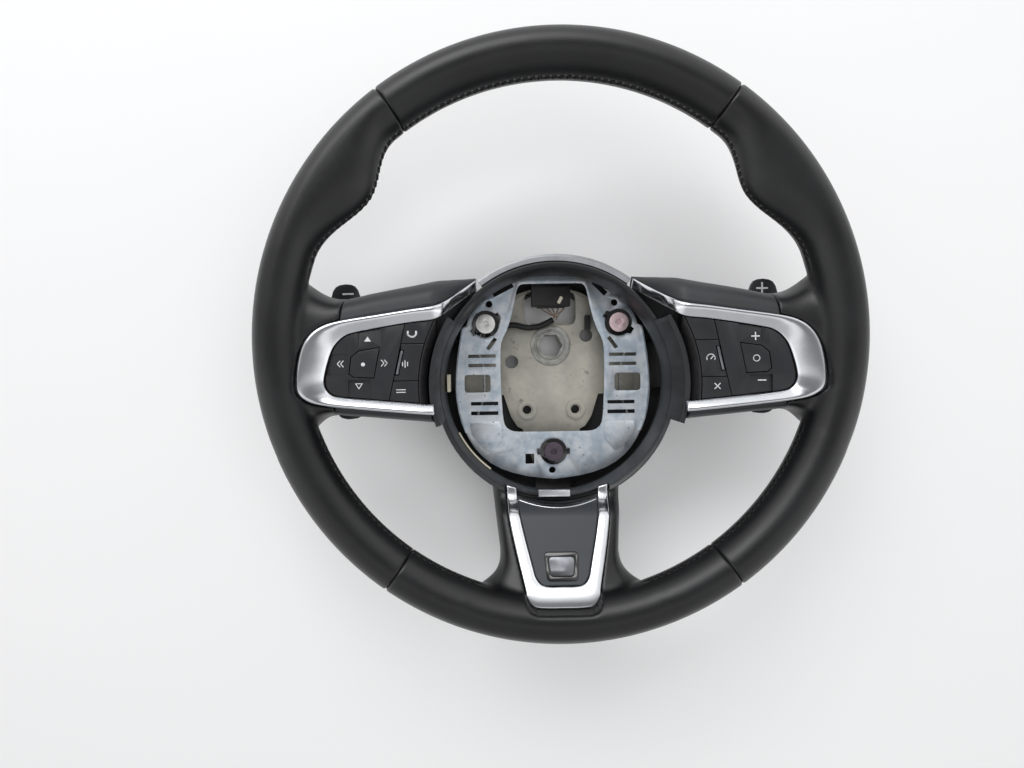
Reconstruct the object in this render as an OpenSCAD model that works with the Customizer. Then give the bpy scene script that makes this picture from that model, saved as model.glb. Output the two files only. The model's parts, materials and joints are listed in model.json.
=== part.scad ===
// Car steering wheel, three spokes, leather rim, airbag module removed.
// X points right and Y to twelve o'clock as the driver sees it, Z points at the driver.
// The origin is on the hub axis, in the plane of the collar that the wheel rests on.

/* [Rim] */
// Outer diameter of the rim
rim_d = 375; // [360:1:390]
// Width of the rim section, towards the hub
rim_w = 28.4; // [26:0.2:31]
// Depth of the rim section, along the column
rim_depth = 32.2; // [29:0.2:36]
// Height of the rim's centre line above the resting plane
rim_z = 104; // [100:1:110]
// Thickness of the leather
leather_t = 1.3; // [1:0.1:1.6]
// How far each thumb rest stands in towards the hub
thumb_rest = 14.3; // [8:0.1:16]
// Angle of the thumb rests above three and nine o'clock
thumb_angle = 37; // [34:1:40]
// Angle from twelve or six o'clock to the cross seams
seam_angle = 36; // [33:1:38]
// Radius of the cast ring inside the rim
ring_r = 5; // [4:0.5:7]

/* [Hub] */
// Thickness of the cast hub plate
hub_t = 5; // [4:0.5:6]
// Height of the hub plate's front face
hub_z = 20; // [18:0.5:21]
// Outer radius of the steel hub insert
insert_r = 15.3; // [14:0.1:17]
// Width across the flats of the column hexagon
hex_af = 15.6; // [13:0.1:17]
// Radius of the round location holes in the hub plate
datum_r = 5; // [4:0.1:6]
// Radius of the screw holes in the two bosses
boss_hole_r = 3.3; // [2.5:0.1:4]
// Outer radius of the two screw bosses
boss_r = 7.2; // [6:0.1:8]
// Distance between the two screw bosses
boss_pitch = 37; // [34:0.5:40]

/* [Horn plate] */
// Thickness of the pressed steel plate
plate_t = 2; // [1.5:0.1:2.4]
// Height of the plate's back face at rest
plate_z = 36; // [35:0.5:37]
// Largest half-width of the plate
plate_hw = 71; // [68:0.5:72]
// Travel of the plate when the horn is pressed
horn_travel = 1.6; // [1:0.1:2]
// Half distance between the two upper guide pins
pin_x = 48.5; // [46:0.5:50]
// Height of the upper guide pins above the hub axis
pin_y = 15.5; // [14:0.5:17]
// Distance of the lower guide pin below the hub axis
pin_low = 78.4; // [76:0.2:80]
// Shaft radius of the guide pins
pin_r = 3; // [2.5:0.1:3.5]
// Head radius of the guide pins
pin_head_r = 7; // [6:0.1:7.4]
// Radius of the plastic bushings' flanges
bush_r = 9.8; // [9:0.1:11]
// Radial clearance of the bushings on their pins
slide_fit = 0.06; // [0.04:0.01:0.1]

/* [Spokes and shroud] */
// Radius of the shroud round the airbag recess
shroud_r = 82.5; // [81:0.5:83.5]
// Distance of the shroud's centre below the hub axis
shroud_drop = 27.7; // [26:0.1:29]
// Wall thickness of the plastic shells
shell_t = 2.2; // [1.8:0.1:2.6]
// Radius of the collar at the back
collar_r = 44; // [42.5:0.5:45]
// Height of the collar
collar_h = 10; // [8:0.5:12]
// Gap left between neighbouring trims
trim_gap = 0.4; // [0.3:0.05:0.6]
// Thickness of the bright trims
trim_t = 3; // [2.4:0.1:3.4]

/* [Switches] */
// Travel of a switch button
key_travel = 0.8; // [0.5:0.1:1]
// Gap round each button
key_gap = 0.5; // [0.4:0.05:0.7]
// Thickness of the rocker faces and the buttons' caps
key_t = 3; // [2.5:0.1:3.5]
// Radius of the rockers' pivot stubs
stub_r = 1; // [0.8:0.05:1.2]

/* [Paddles] */
// Thickness of a shift paddle
paddle_t = 3; // [2.5:0.1:3.5]
// Distance of the paddle pivots from the middle
paddle_pivot_x = 112; // [111:0.5:113]
// Radius of the paddle pivot pins
paddle_pin_r = 1.5; // [1.2:0.1:1.8]

/* [Hidden] */

leather_colour = [0.12, 0.12, 0.13];
skin_colour = [0.2, 0.2, 0.21];
black_plastic = [0.07, 0.07, 0.08];
satin_metal = [0.78, 0.79, 0.8];
zinc_colour = [0.66, 0.7, 0.73];
cast_colour = [0.68, 0.66, 0.62];
key_colour = [0.17, 0.17, 0.19];

// Small clearance between pieces of one body that seat on each other
seat = 0.2;
// Gap between neighbouring leather panels, and between the foam and the leather
wrap_gap = 0.3;
foam_gap = 0.4;
// Overshoot of a cut past the faces that it opens
cut = 1;

rim_r = (rim_d - rim_w) / 2;
rim_a = rim_w / 2;
rim_b = rim_depth / 2;
section_n = 18;
shroud_y = -shroud_drop;
hub_back = hub_z - hub_t;
plate_top = plate_z + plate_t;
seam_top = 90 - seam_angle;
seam_low = seam_angle - 90;
gap_angle = wrap_gap / 2 / rim_r * 180 / PI;

// Heights are often given from the rim's centre plane, minus away from the driver
function up(z) = rim_z + z;
function mix(a, b, t) = a + (b - a) * t;
function flip(p) = [for (i = [len(p) - 1:-1:0]) p[i]];
function mirrored(p) = [for (q = flip(p)) [-q[0], q[1]]];
function at(p, i) = p[max(0, min(len(p) - 1, i))];
function unit(v) = v / max(norm(v), 1e-9);

// Smooth curve through the points of p, with k steps between two of them
function spline(p, k) = concat(
    [for (i = [0:len(p) - 2], j = [0:k - 1])
        let (t = j / k, a = at(p, i - 1), b = p[i], c = p[i + 1], d = at(p, i + 2))
        (2 * b + (c - a) * t + (2 * a - 5 * b + 4 * c - d) * t * t
            + (3 * b - a - 3 * c + d) * t * t * t) / 2],
    [p[len(p) - 1]]);
// The same for a closed outline
function closed_spline(p, k) = let (n = len(p)) [for (i = [0:n - 1], j = [0:k - 1])
    let (t = j / k, a = p[(i + n - 1) % n], b = p[i], c = p[(i + 1) % n], d = p[(i + 2) % n])
    (2 * b + (c - a) * t + (2 * a - 5 * b + 4 * c - d) * t * t
        + (3 * b - a - 3 * c + d) * t * t * t) / 2];
// Straight interpolation in a table of [x, value] rows
function table(rows, x, i = 0) =
    i >= len(rows) - 2 || x < rows[i + 1][0]
        ? mix(rows[i][1], rows[i + 1][1], (x - rows[i][0]) / (rows[i + 1][0] - rows[i][0]))
        : table(rows, x, i + 1);
// Open or closed outline moved sideways by d, to its left
function side(a, b) = let (v = unit(b - a)) [-v[1], v[0]];
function shifted(p, d, loop = true) = let (n = len(p)) [for (i = [0:n - 1])
    let (a = loop ? p[(i + n - 1) % n] : at(p, i - 1), c = loop ? p[(i + 1) % n] : at(p, i + 1),
        u = i == 0 && !loop ? side(p[i], c) : side(a, p[i]),
        v = i == n - 1 && !loop ? side(a, p[i]) : side(p[i], c),
        m = unit(u + v))
    p[i] + m * d / max(0.5, m * u)];
// Corners rounded with radius r, as three points each
function rounded(p, r) = let (n = len(p)) [for (i = [0:n - 1], k = [0:2])
    let (b = p[i], u = unit(p[(i + n - 1) % n] - b), v = unit(p[(i + 1) % n] - b),
        s = r / tan(acos(max(-0.99, min(0.99, u * v))) / 2), e = unit(u + v),
        h = (norm([r, s]) - r))
    k == 0 ? b + u * s : k == 1 ? b + e * h : b + v * s];

// Skin over a list of rings of points, closed by end caps or into a loop. With strip, each ring
// is the section of a shell, whose second half runs back along the first.
module skin(rings, loop = false, strip = false) {
    n = len(rings[0]);
    m = len(rings);
    last = (m - 1) * n;
    bands = [for (i = [0:n / 2 - 2], k = [0, 1])
        k == 0 ? [i, n - 1 - i, n - 2 - i] : [i, n - 2 - i, i + 1]];
    walls = [for (i = [0:m - (loop ? 1 : 2)], j = [0:n - 1])
        let (a = i * n + j, b = i * n + (j + 1) % n,
            c = ((i + 1) % m) * n + (j + 1) % n, d = ((i + 1) % m) * n + j)
        each [[a, b, c], [a, c, d]]];
    caps = loop ? []
        : strip ? concat(bands, [for (f = bands) [f[2] + last, f[1] + last, f[0] + last]])
        : [[for (j = [n - 1:-1:0]) j], [for (j = [0:n - 1]) last + j]];
    polyhedron(points = [for (r = rings) each r], faces = concat(walls, caps), convexity = 6);
}

// Round tube swept along a route of points
function tube_rings(route, r, n) = [for (i = [0:len(route) - 1])
    let (t = unit(at(route, i + 1) - at(route, i - 1)), u = unit(cross(t, [0.13, 0.21, 1])),
        v = cross(u, t))
    [for (j = [0:n - 1]) route[i] + r * (cos(j * 360 / n) * u + sin(j * 360 / n) * v)]];
module tube(route, r, n = 8) {
    skin(tube_rings(route, r, n));
}

// Section of the rim at wheel angle a, drawn in by d
function bump(x, half) = abs(x) >= half ? 0 : (1 + cos(180 * x / half)) / 2;
function thumb(a) = let (b = abs(a) > 90 ? 180 - abs(a) : a, x = b - thumb_angle)
    a < 0 ? 0 : thumb_rest * bump(x, x > 0 ? 14.5 : 18);
function rim_ring(a, d) = [for (j = [0:section_n - 1])
    let (v = j * 360 / section_n, u = (rim_a - d) * cos(v) + (cos(v) < 0 ? thumb(a) * cos(v) : 0),
        r = rim_r + u)
    [r * cos(a), r * sin(a), rim_z + (rim_b - d) * sin(v)]];
function angles(a, b, step) = let (n = ceil((b - a) / step)) [for (i = [0:n]) mix(a, b, i / n)];

// Leather panel between two wheel angles, as a shell round the foam
rim_step = 6;
module rim_solid(a, b, d) {
    skin([for (t = angles(a, b, rim_step)) rim_ring(t, d)]);
}
module rim_panel(a, b) {
    difference() {
        rim_solid(a + gap_angle, b - gap_angle, 0);
        rim_solid(a, b, leather_t);
    }
}
// Where no thumb rest lies, the panel is a plain turned shell
function section_outline(d) = [for (j = [0:section_n - 1])
    [rim_r + (rim_a - d) * cos(j * 360 / section_n), rim_z + (rim_b - d) * sin(j * 360 / section_n)]];
module turned_panel(a, b) {
    rotate([0, 0, a + gap_angle])
        rotate_extrude(angle = b - a - 2 * gap_angle, $fn = 96)
            difference() {
                polygon(section_outline(0));
                polygon(section_outline(leather_t));
            }
}

// Bezel round a switch panel, drawn for the right spoke: outer and inner edge, with heights
bezel_outer = [
    [54, 43.5, -40], [62, 36.2, -29], [69, 28.2, -12], [77, 23, -2.4], [92, 20.6, -0.6],
    [110, 17.8, 0.6], [136, 13.6, 3], [146.5, 9.9, 4.4], [153.3, 4.2, 5.4], [157.6, -4, 6.3],
    [160.3, -17, 7], [160.8, -28.5, 7], [156.3, -34, 6.4], [146.5, -37.7, 5], [120, -40.9, 3],
    [90, -43.9, 0.8], [78.5, -45, -1.2]];
bezel_inner = [
    [53.5, 37.2, -43], [62.5, 28.2, -25], [69.5, 20.5, -9.6], [77, 14.7, -3.6], [92, 12.6, -2.6],
    [106, 10.4, -1.8], [124, 7.1, -0.2], [132, 4.7, 0.8], [137.8, -0.4, 1.6], [141.2, -7, 2.2],
    [144.2, -17.5, 2.8], [145, -25, 2.8], [142, -30.6, 2.2], [135, -33, 1.4], [114, -35.2, -0.2],
    [90, -37.6, -2], [79, -38.6, -3.4]];
function flat(p) = [for (q = p) [q[0], q[1]]];
function bezel_ring(o, i) = let (w = unit([o[0] - i[0], o[1] - i[1], 0]), z = [0, 0, 1])
    [i + [0, 0, rim_z - trim_t], i + [0, 0, rim_z], mix(i, o, 0.3) + (rim_z + 1.3) * z,
     mix(i, o, 0.65) + (rim_z + 1.1) * z, mix(i, o, 0.9) + (rim_z + 0.2) * z,
     o + (rim_z - 1) * z, o + (rim_z - trim_t) * z];
module bezel() {
    color(satin_metal)
        skin([for (k = [0:2 * (len(bezel_outer) - 1)])
            bezel_ring(spline(bezel_outer, 2)[k], spline(bezel_inner, 2)[k])]);
}
module bezel_right() {
    bezel();
}
module bezel_left() {
    mirror([1, 0, 0]) bezel();
}
// Plan of the bezel's outside, a little larger, for the pocket in the rim
function bezel_plan(d) = shifted(concat(flat(spline(bezel_outer, 2)), [[60, -46], [50, 43.5]]), d);

// Bright arc over the hub between the two bezels
module arc_trim() {
    color(satin_metal)
        translate([0, shroud_y, up(-43)])
            rotate([0, 0, 53.4])
                rotate_extrude(angle = 73.2, $fn = 96)
                    polygon([[shroud_r + trim_gap, 0], [shroud_r + trim_gap, 1.2],
                        [shroud_r + 1.6, 2.7], [shroud_r + 4.4, 3.2], [shroud_r + 6.2, 2.2],
                        [shroud_r + 6.6, 0]]);
}

// Side spoke cover, an open trough round the spoke: rows of [x, value]
cover_top_front = [[54, 43.9], [62, 36.6], [69, 28.6], [77, 23.4], [110, 18.2], [136, 14], [150, 8]];
cover_top_back = [[54, 45.8], [63, 44.2], [130, 30.4], [160, 26]];
cover_low_front = [[54, -47.4], [78, -45.4], [90, -44.3], [120, -41.3], [146, -38.1]];
cover_low_back = [[54, -54], [71, -52.5], [156, -43.2]];
cover_front = [[54, -41.4], [62, -30.4], [69, -13.4], [77, -3.8], [110, -0.8], [136, 1.6], [160, 5]];
cover_back = [[54, -52], [80, -44], [97, -36], [110, -33], [140, -30], [160, -26]];
function trough(a, b, c, d, zf, zb, depth = 22) = let (s = min(depth, (zf - zb) * 0.62)) [
    [a, zf], [mix(a, b, 0.5), zf - 0.1 * s], [mix(a, b, 0.84), zf - 0.42 * s], [b, zf - s],
    [b - 1.6, zb + 5], [b - 8, zb], [mix(b, d, 0.5), zb - 0.4], [d + 8, zb], [d + 1.6, zb + 5],
    [d, zf - s], [mix(c, d, 0.84), zf - 0.42 * s], [mix(c, d, 0.5), zf - 0.1 * s], [c, zf]];
function shell_loop(p, t) = concat(p, flip(shifted(p, -t, false)));
function cover_section(x, flare, t) = shell_loop(trough(
    table(cover_top_front, x), table(cover_top_back, x) + flare,
    table(cover_low_front, x), table(cover_low_back, x) - flare,
    table(cover_front, x), table(cover_back, x)), t);
function cover_ring(x, flare, t) = [for (q = cover_section(x, flare, t)) [x, q[0], up(q[1])]];
cover_end = 137;
module spoke_cover() {
    color(skin_colour)
        difference() {
            skin([for (x = [54, 62, 69, 77, 88, 100, 112, 124, cover_end]) cover_ring(x, 0, shell_t)],
                strip = true);
            translate([shroud_r + 0.7, -36, 30]) cube([sleeve_reach - shroud_r - 3.3, 42, 50]);
            translate([0, shroud_y, 0])
                cylinder(h = 2 * rim_z, r = shroud_r + trim_gap, $fn = 96);
        }
}
module spoke_cover_right() {
    spoke_cover();
}
module spoke_cover_left() {
    mirror([1, 0, 0]) spoke_cover();
}

// Leather saddle of a side spoke, which runs from the rim to the spoke cover
saddle_flare = [[cover_end, 0], [143, 0.8], [148, 3], [153, 7], [158, 12], [168, 20]];
module side_saddle() {
    difference() {
        skin([for (x = [cover_end + wrap_gap, 142, 147, 152, 157, 162, 167])
            cover_ring(x, table(saddle_flare, x), leather_t)], strip = true);
        rim_solid(-24, 20, leather_t - 0.1);
    }
}
module bezel_pocket() {
    translate([0, 0, up(-3)])
        linear_extrude(height = rim_b + 5)
            polygon(bezel_plan(trim_gap));
}
module leather_side() {
    color(leather_colour)
        difference() {
            union() {
                difference() {
                    rim_panel(seam_low, seam_top);
                    translate([150, -30.6, up(-22)]) cube([18, 39.2, 20]);
                }
                side_saddle();
            }
            bezel_pocket();
        }
}
module leather_right() {
    leather_side();
}
module leather_left() {
    mirror([1, 0, 0]) leather_side();
}
module leather_top() {
    color(leather_colour) turned_panel(seam_top, 180 - seam_top);
}

// Lower spoke: rows of [distance below the hub axis, value]
trim_hw = [[96, 34.9], [112, 33.6], [120, 32.3], [136, 28.6], [157, 23.4], [166, 21]];
lower_outer_hw = [[92, 46], [104, 44.5], [120, 42], [138, 39.5], [144, 40], [149, 42.5], [153, 47],
    [158, 56], [164, 66], [170, 74]];
lower_face = [[92, -38], [103, -36.5], [107, -34], [113, -24], [120, -20], [140, -9], [160, 3], [170, 7]];
lower_back = [[92, -64], [104, -60], [120, -48], [140, -35], [150, -28], [158, -21.5], [164, -17],
    [170, -14]];
function lower_section(y) = trough(
    table(trim_hw, y) + trim_gap, table(lower_outer_hw, y),
    -table(trim_hw, y) - trim_gap, -table(lower_outer_hw, y),
    table(lower_face, y) - 1.4, table(lower_back, y), 16);
function lower_ring(y, d) = let (p = shifted(lower_section(y), -d, false), k = len(p) - 1,
    q = d == 0 ? p : concat([[p[0][0], 30]], p, [[p[k][0], 30]]))
    [for (v = q) [v[0], -y, up(v[1])]];
lower_stations = [95, 104, 108, 113, 120, 130, 138, 144, 149, 153, 158, 164, 170];
module lower_saddle() {
    difference() {
        skin([for (y = lower_stations) lower_ring(y, 0)]);
        skin([for (y = lower_stations) lower_ring(y == 95 ? 94 : y == 170 ? 171 : y, leather_t)]);
        rim_solid(-122, -58, leather_t - 0.1);
        translate([-16.5, -122, 30]) cube([33, 122 - shroud_drop - shroud_r, 32]);
        translate([0, shroud_y, 0])
            cylinder(h = 2 * rim_z, r = shroud_r - 13, $fn = 96);
        translate([0, shroud_y, 0])
            cylinder(h = up(-34), r = shroud_r + trim_gap, $fn = 96);
    }
}
lower_half_outer = [
    [0, -165.4], [10, -165.4], [18.5, -164.4], [22.4, -160], [23.8, -154], [28.6, -136],
    [32.3, -120], [33.8, -110], [34.9, -97]];
lower_half_inner = [
    [0, -153.8], [8, -153.8], [13.4, -152.6], [16.9, -149], [18.8, -143], [23, -128],
    [25.8, -116.5], [27, -110], [28.1, -99]];
function smooth_half(p) = spline(p, 2);
function u_outline(o, i) = concat(mirrored(o), [for (k = [1:len(o) - 1]) o[k]],
    flip(concat(mirrored(i), [for (k = [1:len(i) - 1]) i[k]])));
function closed_half(p) = concat(mirrored(p), [for (k = [1:len(p) - 1]) p[k]]);
// Slab that follows the spoke's face, from d0 to d1 above it, cut to a plan
function face_line(d) = [for (y = [90, 98, 104, 107, 110, 113, 117, 124, 134, 145, 156, 170])
    [-y, up(table(lower_face, y)) + d]];
module face_slab(d0, d1) {
    rotate([90, 0, 90])
        translate([0, 0, -60])
            linear_extrude(height = 120)
                polygon(concat(face_line(d0), flip(face_line(d1))));
}
module lower_pocket() {
    intersection() {
        translate([0, 0, up(-60)])
            linear_extrude(height = 100)
                polygon(shifted(closed_half(smooth_half(lower_half_outer)), -trim_gap));
        face_slab(-4.6, 40);
    }
}
module leather_bottom() {
    color(leather_colour)
        difference() {
            union() {
                difference() {
                    rim_panel(-180 - seam_low, seam_low);
                    translate([-17.4, -167, up(-22)]) cube([34.8, 18, 16]);
                }
                lower_saddle();
            }
            lower_pocket();
        }
}
module lower_trim() {
    color(satin_metal)
        intersection() {
            translate([0, 0, up(-60)])
                linear_extrude(height = 100)
                    polygon(u_outline(smooth_half(lower_half_outer), smooth_half(lower_half_inner)));
            face_slab(-trim_t, 0.4);
        }
}
badge_y = -143;
badge_w = 22.4;
badge_h = 15.5;
module badge_plan(d) {
    translate([0, badge_y])
        polygon(rounded([[-badge_w / 2 + d, badge_h / 2 - d], [badge_w / 2 - d, badge_h / 2 - d],
            [badge_w / 2 - 1.4 - d, -badge_h / 2 + d], [-badge_w / 2 + 1.4 + d, -badge_h / 2 + d]], 2));
}
module lower_panel() {
    color(skin_colour)
        difference() {
            intersection() {
                translate([0, 0, up(-60)])
                    linear_extrude(height = 100)
                        polygon(shifted(closed_half(smooth_half(lower_half_inner)), trim_gap));
                face_slab(-trim_t, -0.6);
            }
            translate([0, 0, up(-60)])
                linear_extrude(height = 100) {
                    badge_plan(-trim_gap / 2);
                    clip_plan(trim_gap / 2);
                }
        }
}
module badge_frame() {
    color(black_plastic)
        intersection() {
            translate([0, 0, up(-60)])
                linear_extrude(height = 100)
                    difference() {
                        badge_plan(0);
                        badge_plan(2.4);
                    }
            face_slab(-trim_t, 0.5);
        }
}
module badge_insert() {
    color(satin_metal)
        intersection() {
            translate([0, 0, up(-60)])
                linear_extrude(height = 100) badge_plan(2.4 + seat);
            face_slab(-trim_t, -0.2);
        }
}
module clip_plan(d) {
    translate([-12.8 - d, -105 - d]) square([21.6 + 2 * d, 4.2 + 2 * d]);
}
module lower_clip() {
    color(satin_metal)
        intersection() {
            translate([0, 0, up(-60)]) linear_extrude(height = 100) clip_plan(0);
            face_slab(-trim_t, -0.1);
        }
}

// Shroud round the recess for the airbag, with a high wall beside each switch panel
band_inner = 77;
band_low = up(-58);
band_high = up(-36);
module shroud_wall(a, b) {
    rotate([0, 0, a])
        rotate_extrude(angle = b - a, $fn = 96)
            polygon([[79.4, band_low + 8], [shroud_r - 0.2, band_high - 6], [shroud_r - 0.2, up(-7)],
                [79.4, up(-7.6)]]);
}
module hub_shroud() {
    color(skin_colour)
        difference() {
            translate([0, shroud_y, 0])
                union() {
                    rotate_extrude($fn = 96)
                        polygon([[band_inner, band_low], [band_inner + shell_t, band_low],
                            [79.8, band_high - 7], [shroud_r - shell_t, band_high - 5],
                            [shroud_r - shell_t, hub_z + 22], [shroud_r, hub_z + 22],
                            [shroud_r, band_high - 1], [shroud_r - 1, band_high],
                            [shroud_r - 3.4, band_high - 2], [band_inner, band_low + 3]]);
                    shroud_wall(-18, 32);
                    shroud_wall(148, 198);
                }
            translate([-36, -125, up(-43)]) cube([72, 30, 60]);
        }
}
module mirror_pair() {
    children();
    mirror([1, 0, 0]) children();
}

// Cast spokes, which run under the shroud, up beside it and through the trims to the rim
spoke_top = [[28, 20], [64, 20], [72, 26], [79, 33], [83.6, 40], [86.5, 50], [90, 62], [95, 75],
    [104, 80.5], [122, 82.5], [140, 84.5], [150, 87], [164, 106], [170, 108]];
spoke_back = [[175, 101], [168, 97], [156, 81], [137, 77.8], [124, 76.5], [110, 75], [101, 72.5],
    [98, 68], [95.5, 58], [90, 45], [84, 32], [76, 22], [66, 15], [28, 15]];
spoke_plan = [[28, 4], [28, -38], [60, -36], [92, -30], [150, -24], [174, -34], [174, 12], [150, 1],
    [92, 1], [62, 1]];
module side_spoke() {
    difference() {
        intersection() {
            rotate([90, 0, 0])
                translate([0, 0, -60])
                    linear_extrude(height = 120) polygon(concat(spoke_top, spoke_back));
            linear_extrude(height = 2 * rim_z) polygon(spoke_plan);
        }
        translate([108, -19, 70]) cube([34, 12, 20]);
    }
}
lower_top = [[-50, 20], [-88, 20], [-97, 25], [-106, 31], [-111.3, 39], [-113.5, 47], [-117, 58],
    [-124, 71], [-140, 80], [-150, 86], [-160, 93], [-166, 106], [-175, 106]];
lower_under = [[-176, 100], [-163, 91], [-156, 85], [-150, 80], [-141, 74], [-124, 64], [-119, 52],
    [-115.5, 40], [-110, 29], [-100, 19.5], [-92, 15], [-50, 15]];
module lower_spoke() {
    difference() {
        intersection() {
            rotate([90, 0, 90])
                translate([0, 0, -60])
                    linear_extrude(height = 120) polygon(concat(lower_top, lower_under));
            linear_extrude(height = 2 * rim_z)
                polygon([[-26, -50], [26, -50], [15, -88], [13, -98], [13, -155], [22, -178],
                    [-22, -178], [-13, -155], [-13, -98], [-15, -88]]);
        }
        translate([-6, -156, 64]) cube([12, 30, 30]);
    }
}
hub_half = [
    [0, -64], [9, -66], [18, -66], [26, -62], [31, -54], [36, -38], [40, -20], [41, 0],
    [52, 5], [56, 11], [55, 20], [49, 25], [40, 27], [32, 35], [24, 39.6], [12, 43.4], [0, 43.4]];
module hub_plate() {
    difference() {
        union() {
            translate([0, 0, hub_back])
                linear_extrude(height = hub_t)
                    polygon(concat(hub_half, mirrored([for (k = [1:len(hub_half) - 2]) hub_half[k]])));
            translate([-12, -pin_low - 10, hub_back]) cube([24, 24, hub_t]);
            translate([0, 0, hub_back - 9]) cylinder(h = 9 + cut / 2, r = insert_r + 7, $fn = 72);
            for (a = [35, 145, 215, 325])
                rotate([0, 0, a]) translate([insert_r, -2, hub_back - 6]) cube([24, 4, 6 + cut / 2]);
            boss_positions() translate([0, 0, hub_back]) cylinder(h = hub_t + boss_rise, r = boss_r, $fn = 48);
        }
        translate([0, 0, hub_back - 20]) cylinder(h = 60, r = insert_r, $fn = 72);
        translate([-19.6, 15.2, hub_back - cut])
            linear_extrude(height = hub_t + 2 * cut)
                polygon(rounded([[0, 0], [39.2, 0], [39.2, 25.8], [0, 25.8]], 5));
        translate([-19.6, insert_r + boss_wall, hub_back - 20]) cube([39.2, 12, 20 + cut]);
    }
}
// Round holes through the casting: two for location, two for the airbag's screws, three for the guide pins
boss_y = -49.2;
boss_rise = 1.6;
boss_wall = 2.2;
datum_places = [[-29.8, -12.2], [27.3, 7.3]];
module boss_positions() {
    for (s = [-1, 1])
        translate([s * boss_pitch / 2, boss_y, 0]) children();
}
module hub_holes() {
    for (p = datum_places)
        translate([p[0], p[1], hub_back - cut]) cylinder(h = hub_t + 2 * cut, r = datum_r, $fn = 48);
    boss_positions() {
        translate([0, 0, hub_back - cut]) cylinder(h = hub_t + boss_rise + 2 * cut, r = boss_hole_r, $fn = 48);
        translate([0, 0, hub_z]) cylinder(h = 2 * boss_rise, r = boss_hole_r + 1, $fn = 48);
    }
    guide_positions() translate([0, 0, hub_back - cut])
        cylinder(h = hub_t + 2 * cut, r = pin_r + 0.02, $fn = 48);
}
module guide_positions() {
    for (p = [[-pin_x, pin_y], [pin_x, pin_y], [0, -pin_low]])
        translate([p[0], p[1], 0]) children();
}
module armature() {
    color(cast_colour)
        difference() {
            union() {
                hub_plate();
                side_spoke();
                mirror([1, 0, 0]) side_spoke();
                lower_spoke();
                translate([0, 0, rim_z])
                    rotate_extrude($fn = 96) translate([rim_r, 0]) circle(r = ring_r, $fn = 32);
            }
            hub_holes();
        }
}
module hub_insert() {
    color([0.6, 0.6, 0.59])
        difference() {
            translate([0, 0, hub_back - 9]) cylinder(h = 9 + hub_t + 0.8, r = insert_r - 0.02, $fn = 72);
            translate([0, 0, hub_back - 10]) cylinder(h = 40, r = hex_af / 2 / cos(30), $fn = 6);
            translate([0, 0, hub_z])
                difference() {
                    cylinder(h = 3, r = 12, $fn = 72);
                    cylinder(h = 3, r = 10.7, $fn = 72);
                }
        }
}
// Wheel angles of the foam's rings, the same as those of the four panels
foam_stretches = [angles(seam_low, seam_top, rim_step), angles(seam_top, 180 - seam_top, rim_step),
    angles(180 - seam_top, 180 - seam_low, rim_step), angles(180 - seam_low, 360 + seam_low, rim_step)];
module rim_foam() {
    color([0.16, 0.16, 0.16])
        difference() {
            skin([for (e = foam_stretches, k = [0:len(e) - 2])
                rim_ring(e[k] > 180 ? e[k] - 360 : e[k], leather_t + foam_gap)], true);
            translate([0, 0, rim_z])
                rotate_extrude($fn = 96) translate([rim_r, 0]) circle(r = ring_r + 0.1, $fn = 32);
            bezel_room();
            mirror([1, 0, 0]) bezel_room();
            lower_pocket();
            spoke_room();
        }
}
module bezel_room() {
    translate([0, 0, up(-3) - wrap_gap])
        linear_extrude(height = rim_b + 5) polygon(bezel_plan(trim_gap + wrap_gap));
}
// Where the cast spokes run into the foam
module spoke_room() {
    mirror_pair() translate([140, -36, 70]) cube([42, 50, 34 + 6]);
    translate([-24, -180, 70]) cube([48, 60, 34 + 6]);
}

// Rear cover, a pan under the shroud with a collar for the column and a sleeve round each spoke
pan_top = hub_z + 21.6;
pan_taper = 9;
module pan(d) {
    translate([0, shroud_y, 0])
        rotate_extrude($fn = 96)
            polygon([[0, collar_h + d], [shroud_r - pan_taper - d, collar_h + d], [shroud_r - d, 26],
                [shroud_r - d, pan_top + d / 4], [0, pan_top + d / 4]]);
}
sleeve_reach = 103.6;
side_sleeve = [[66, 11.6], [80, 18], [90, 30], [98.5, 50], [sleeve_reach, 68.5], [97, 67], [83.2, 60.5],
    [83.2, pan_top - 0.3], [66, pan_top - 0.3]];
side_room = [[66, 14.2], [78.6, 20.2], [88, 31.2], [96.2, 50.6], [101, 69], [101, 72], [82, 72],
    [82, pan_top + cut], [66, pan_top - 0.6]];
low_sleeve = [[-99, 11.2], [-112.5, 24.8], [-119.6, 38.4], [-124.6, 56.4], [-111, 47.8],
    [-111, pan_top - 0.3], [-99, pan_top - 0.3]];
low_room = [[-96, 15.4], [-110, 27], [-117.2, 39.5], [-122, 60], [-110, 60], [-110, pan_top + cut],
    [-96, pan_top - 0.6]];
// Extrusion of a side view along Y, from y0 to y1
module across(p, y0, y1) {
    translate([0, y1, 0]) rotate([90, 0, 0]) linear_extrude(height = y1 - y0) polygon(p);
}
module along(p, half) {
    rotate([90, 0, 90]) translate([0, 0, -half]) linear_extrude(height = 2 * half) polygon(p);
}
module rear_cover() {
    color(black_plastic)
        difference() {
            union() {
                pan(0);
                cylinder(h = collar_h + 1, r = collar_r, $fn = 96);
                mirror_pair() across(side_sleeve, -41, 9);
                along(low_sleeve, 19.2);
            }
            pan(shell_t);
            translate([0, 0, -cut]) cylinder(h = collar_h + 6, r = collar_r - shell_t, $fn = 96);
            mirror_pair() across(side_room, -41 + shell_t, 9 - shell_t);
            along(low_room, 19.2 - shell_t);
        }
}

// Switch panels, drawn for the right spoke in a frame that leans up towards the rim
lean = atan(0.08);
lean_x = 80;
lean_z = -4;
key_edge = 88.6;
divider = [[96, 11.4], [106.4, -35.4]];
row_high = -0.6;
row_low = -23.6;
rocker_x = 120.5;
rocker_y = -12.5;
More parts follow.
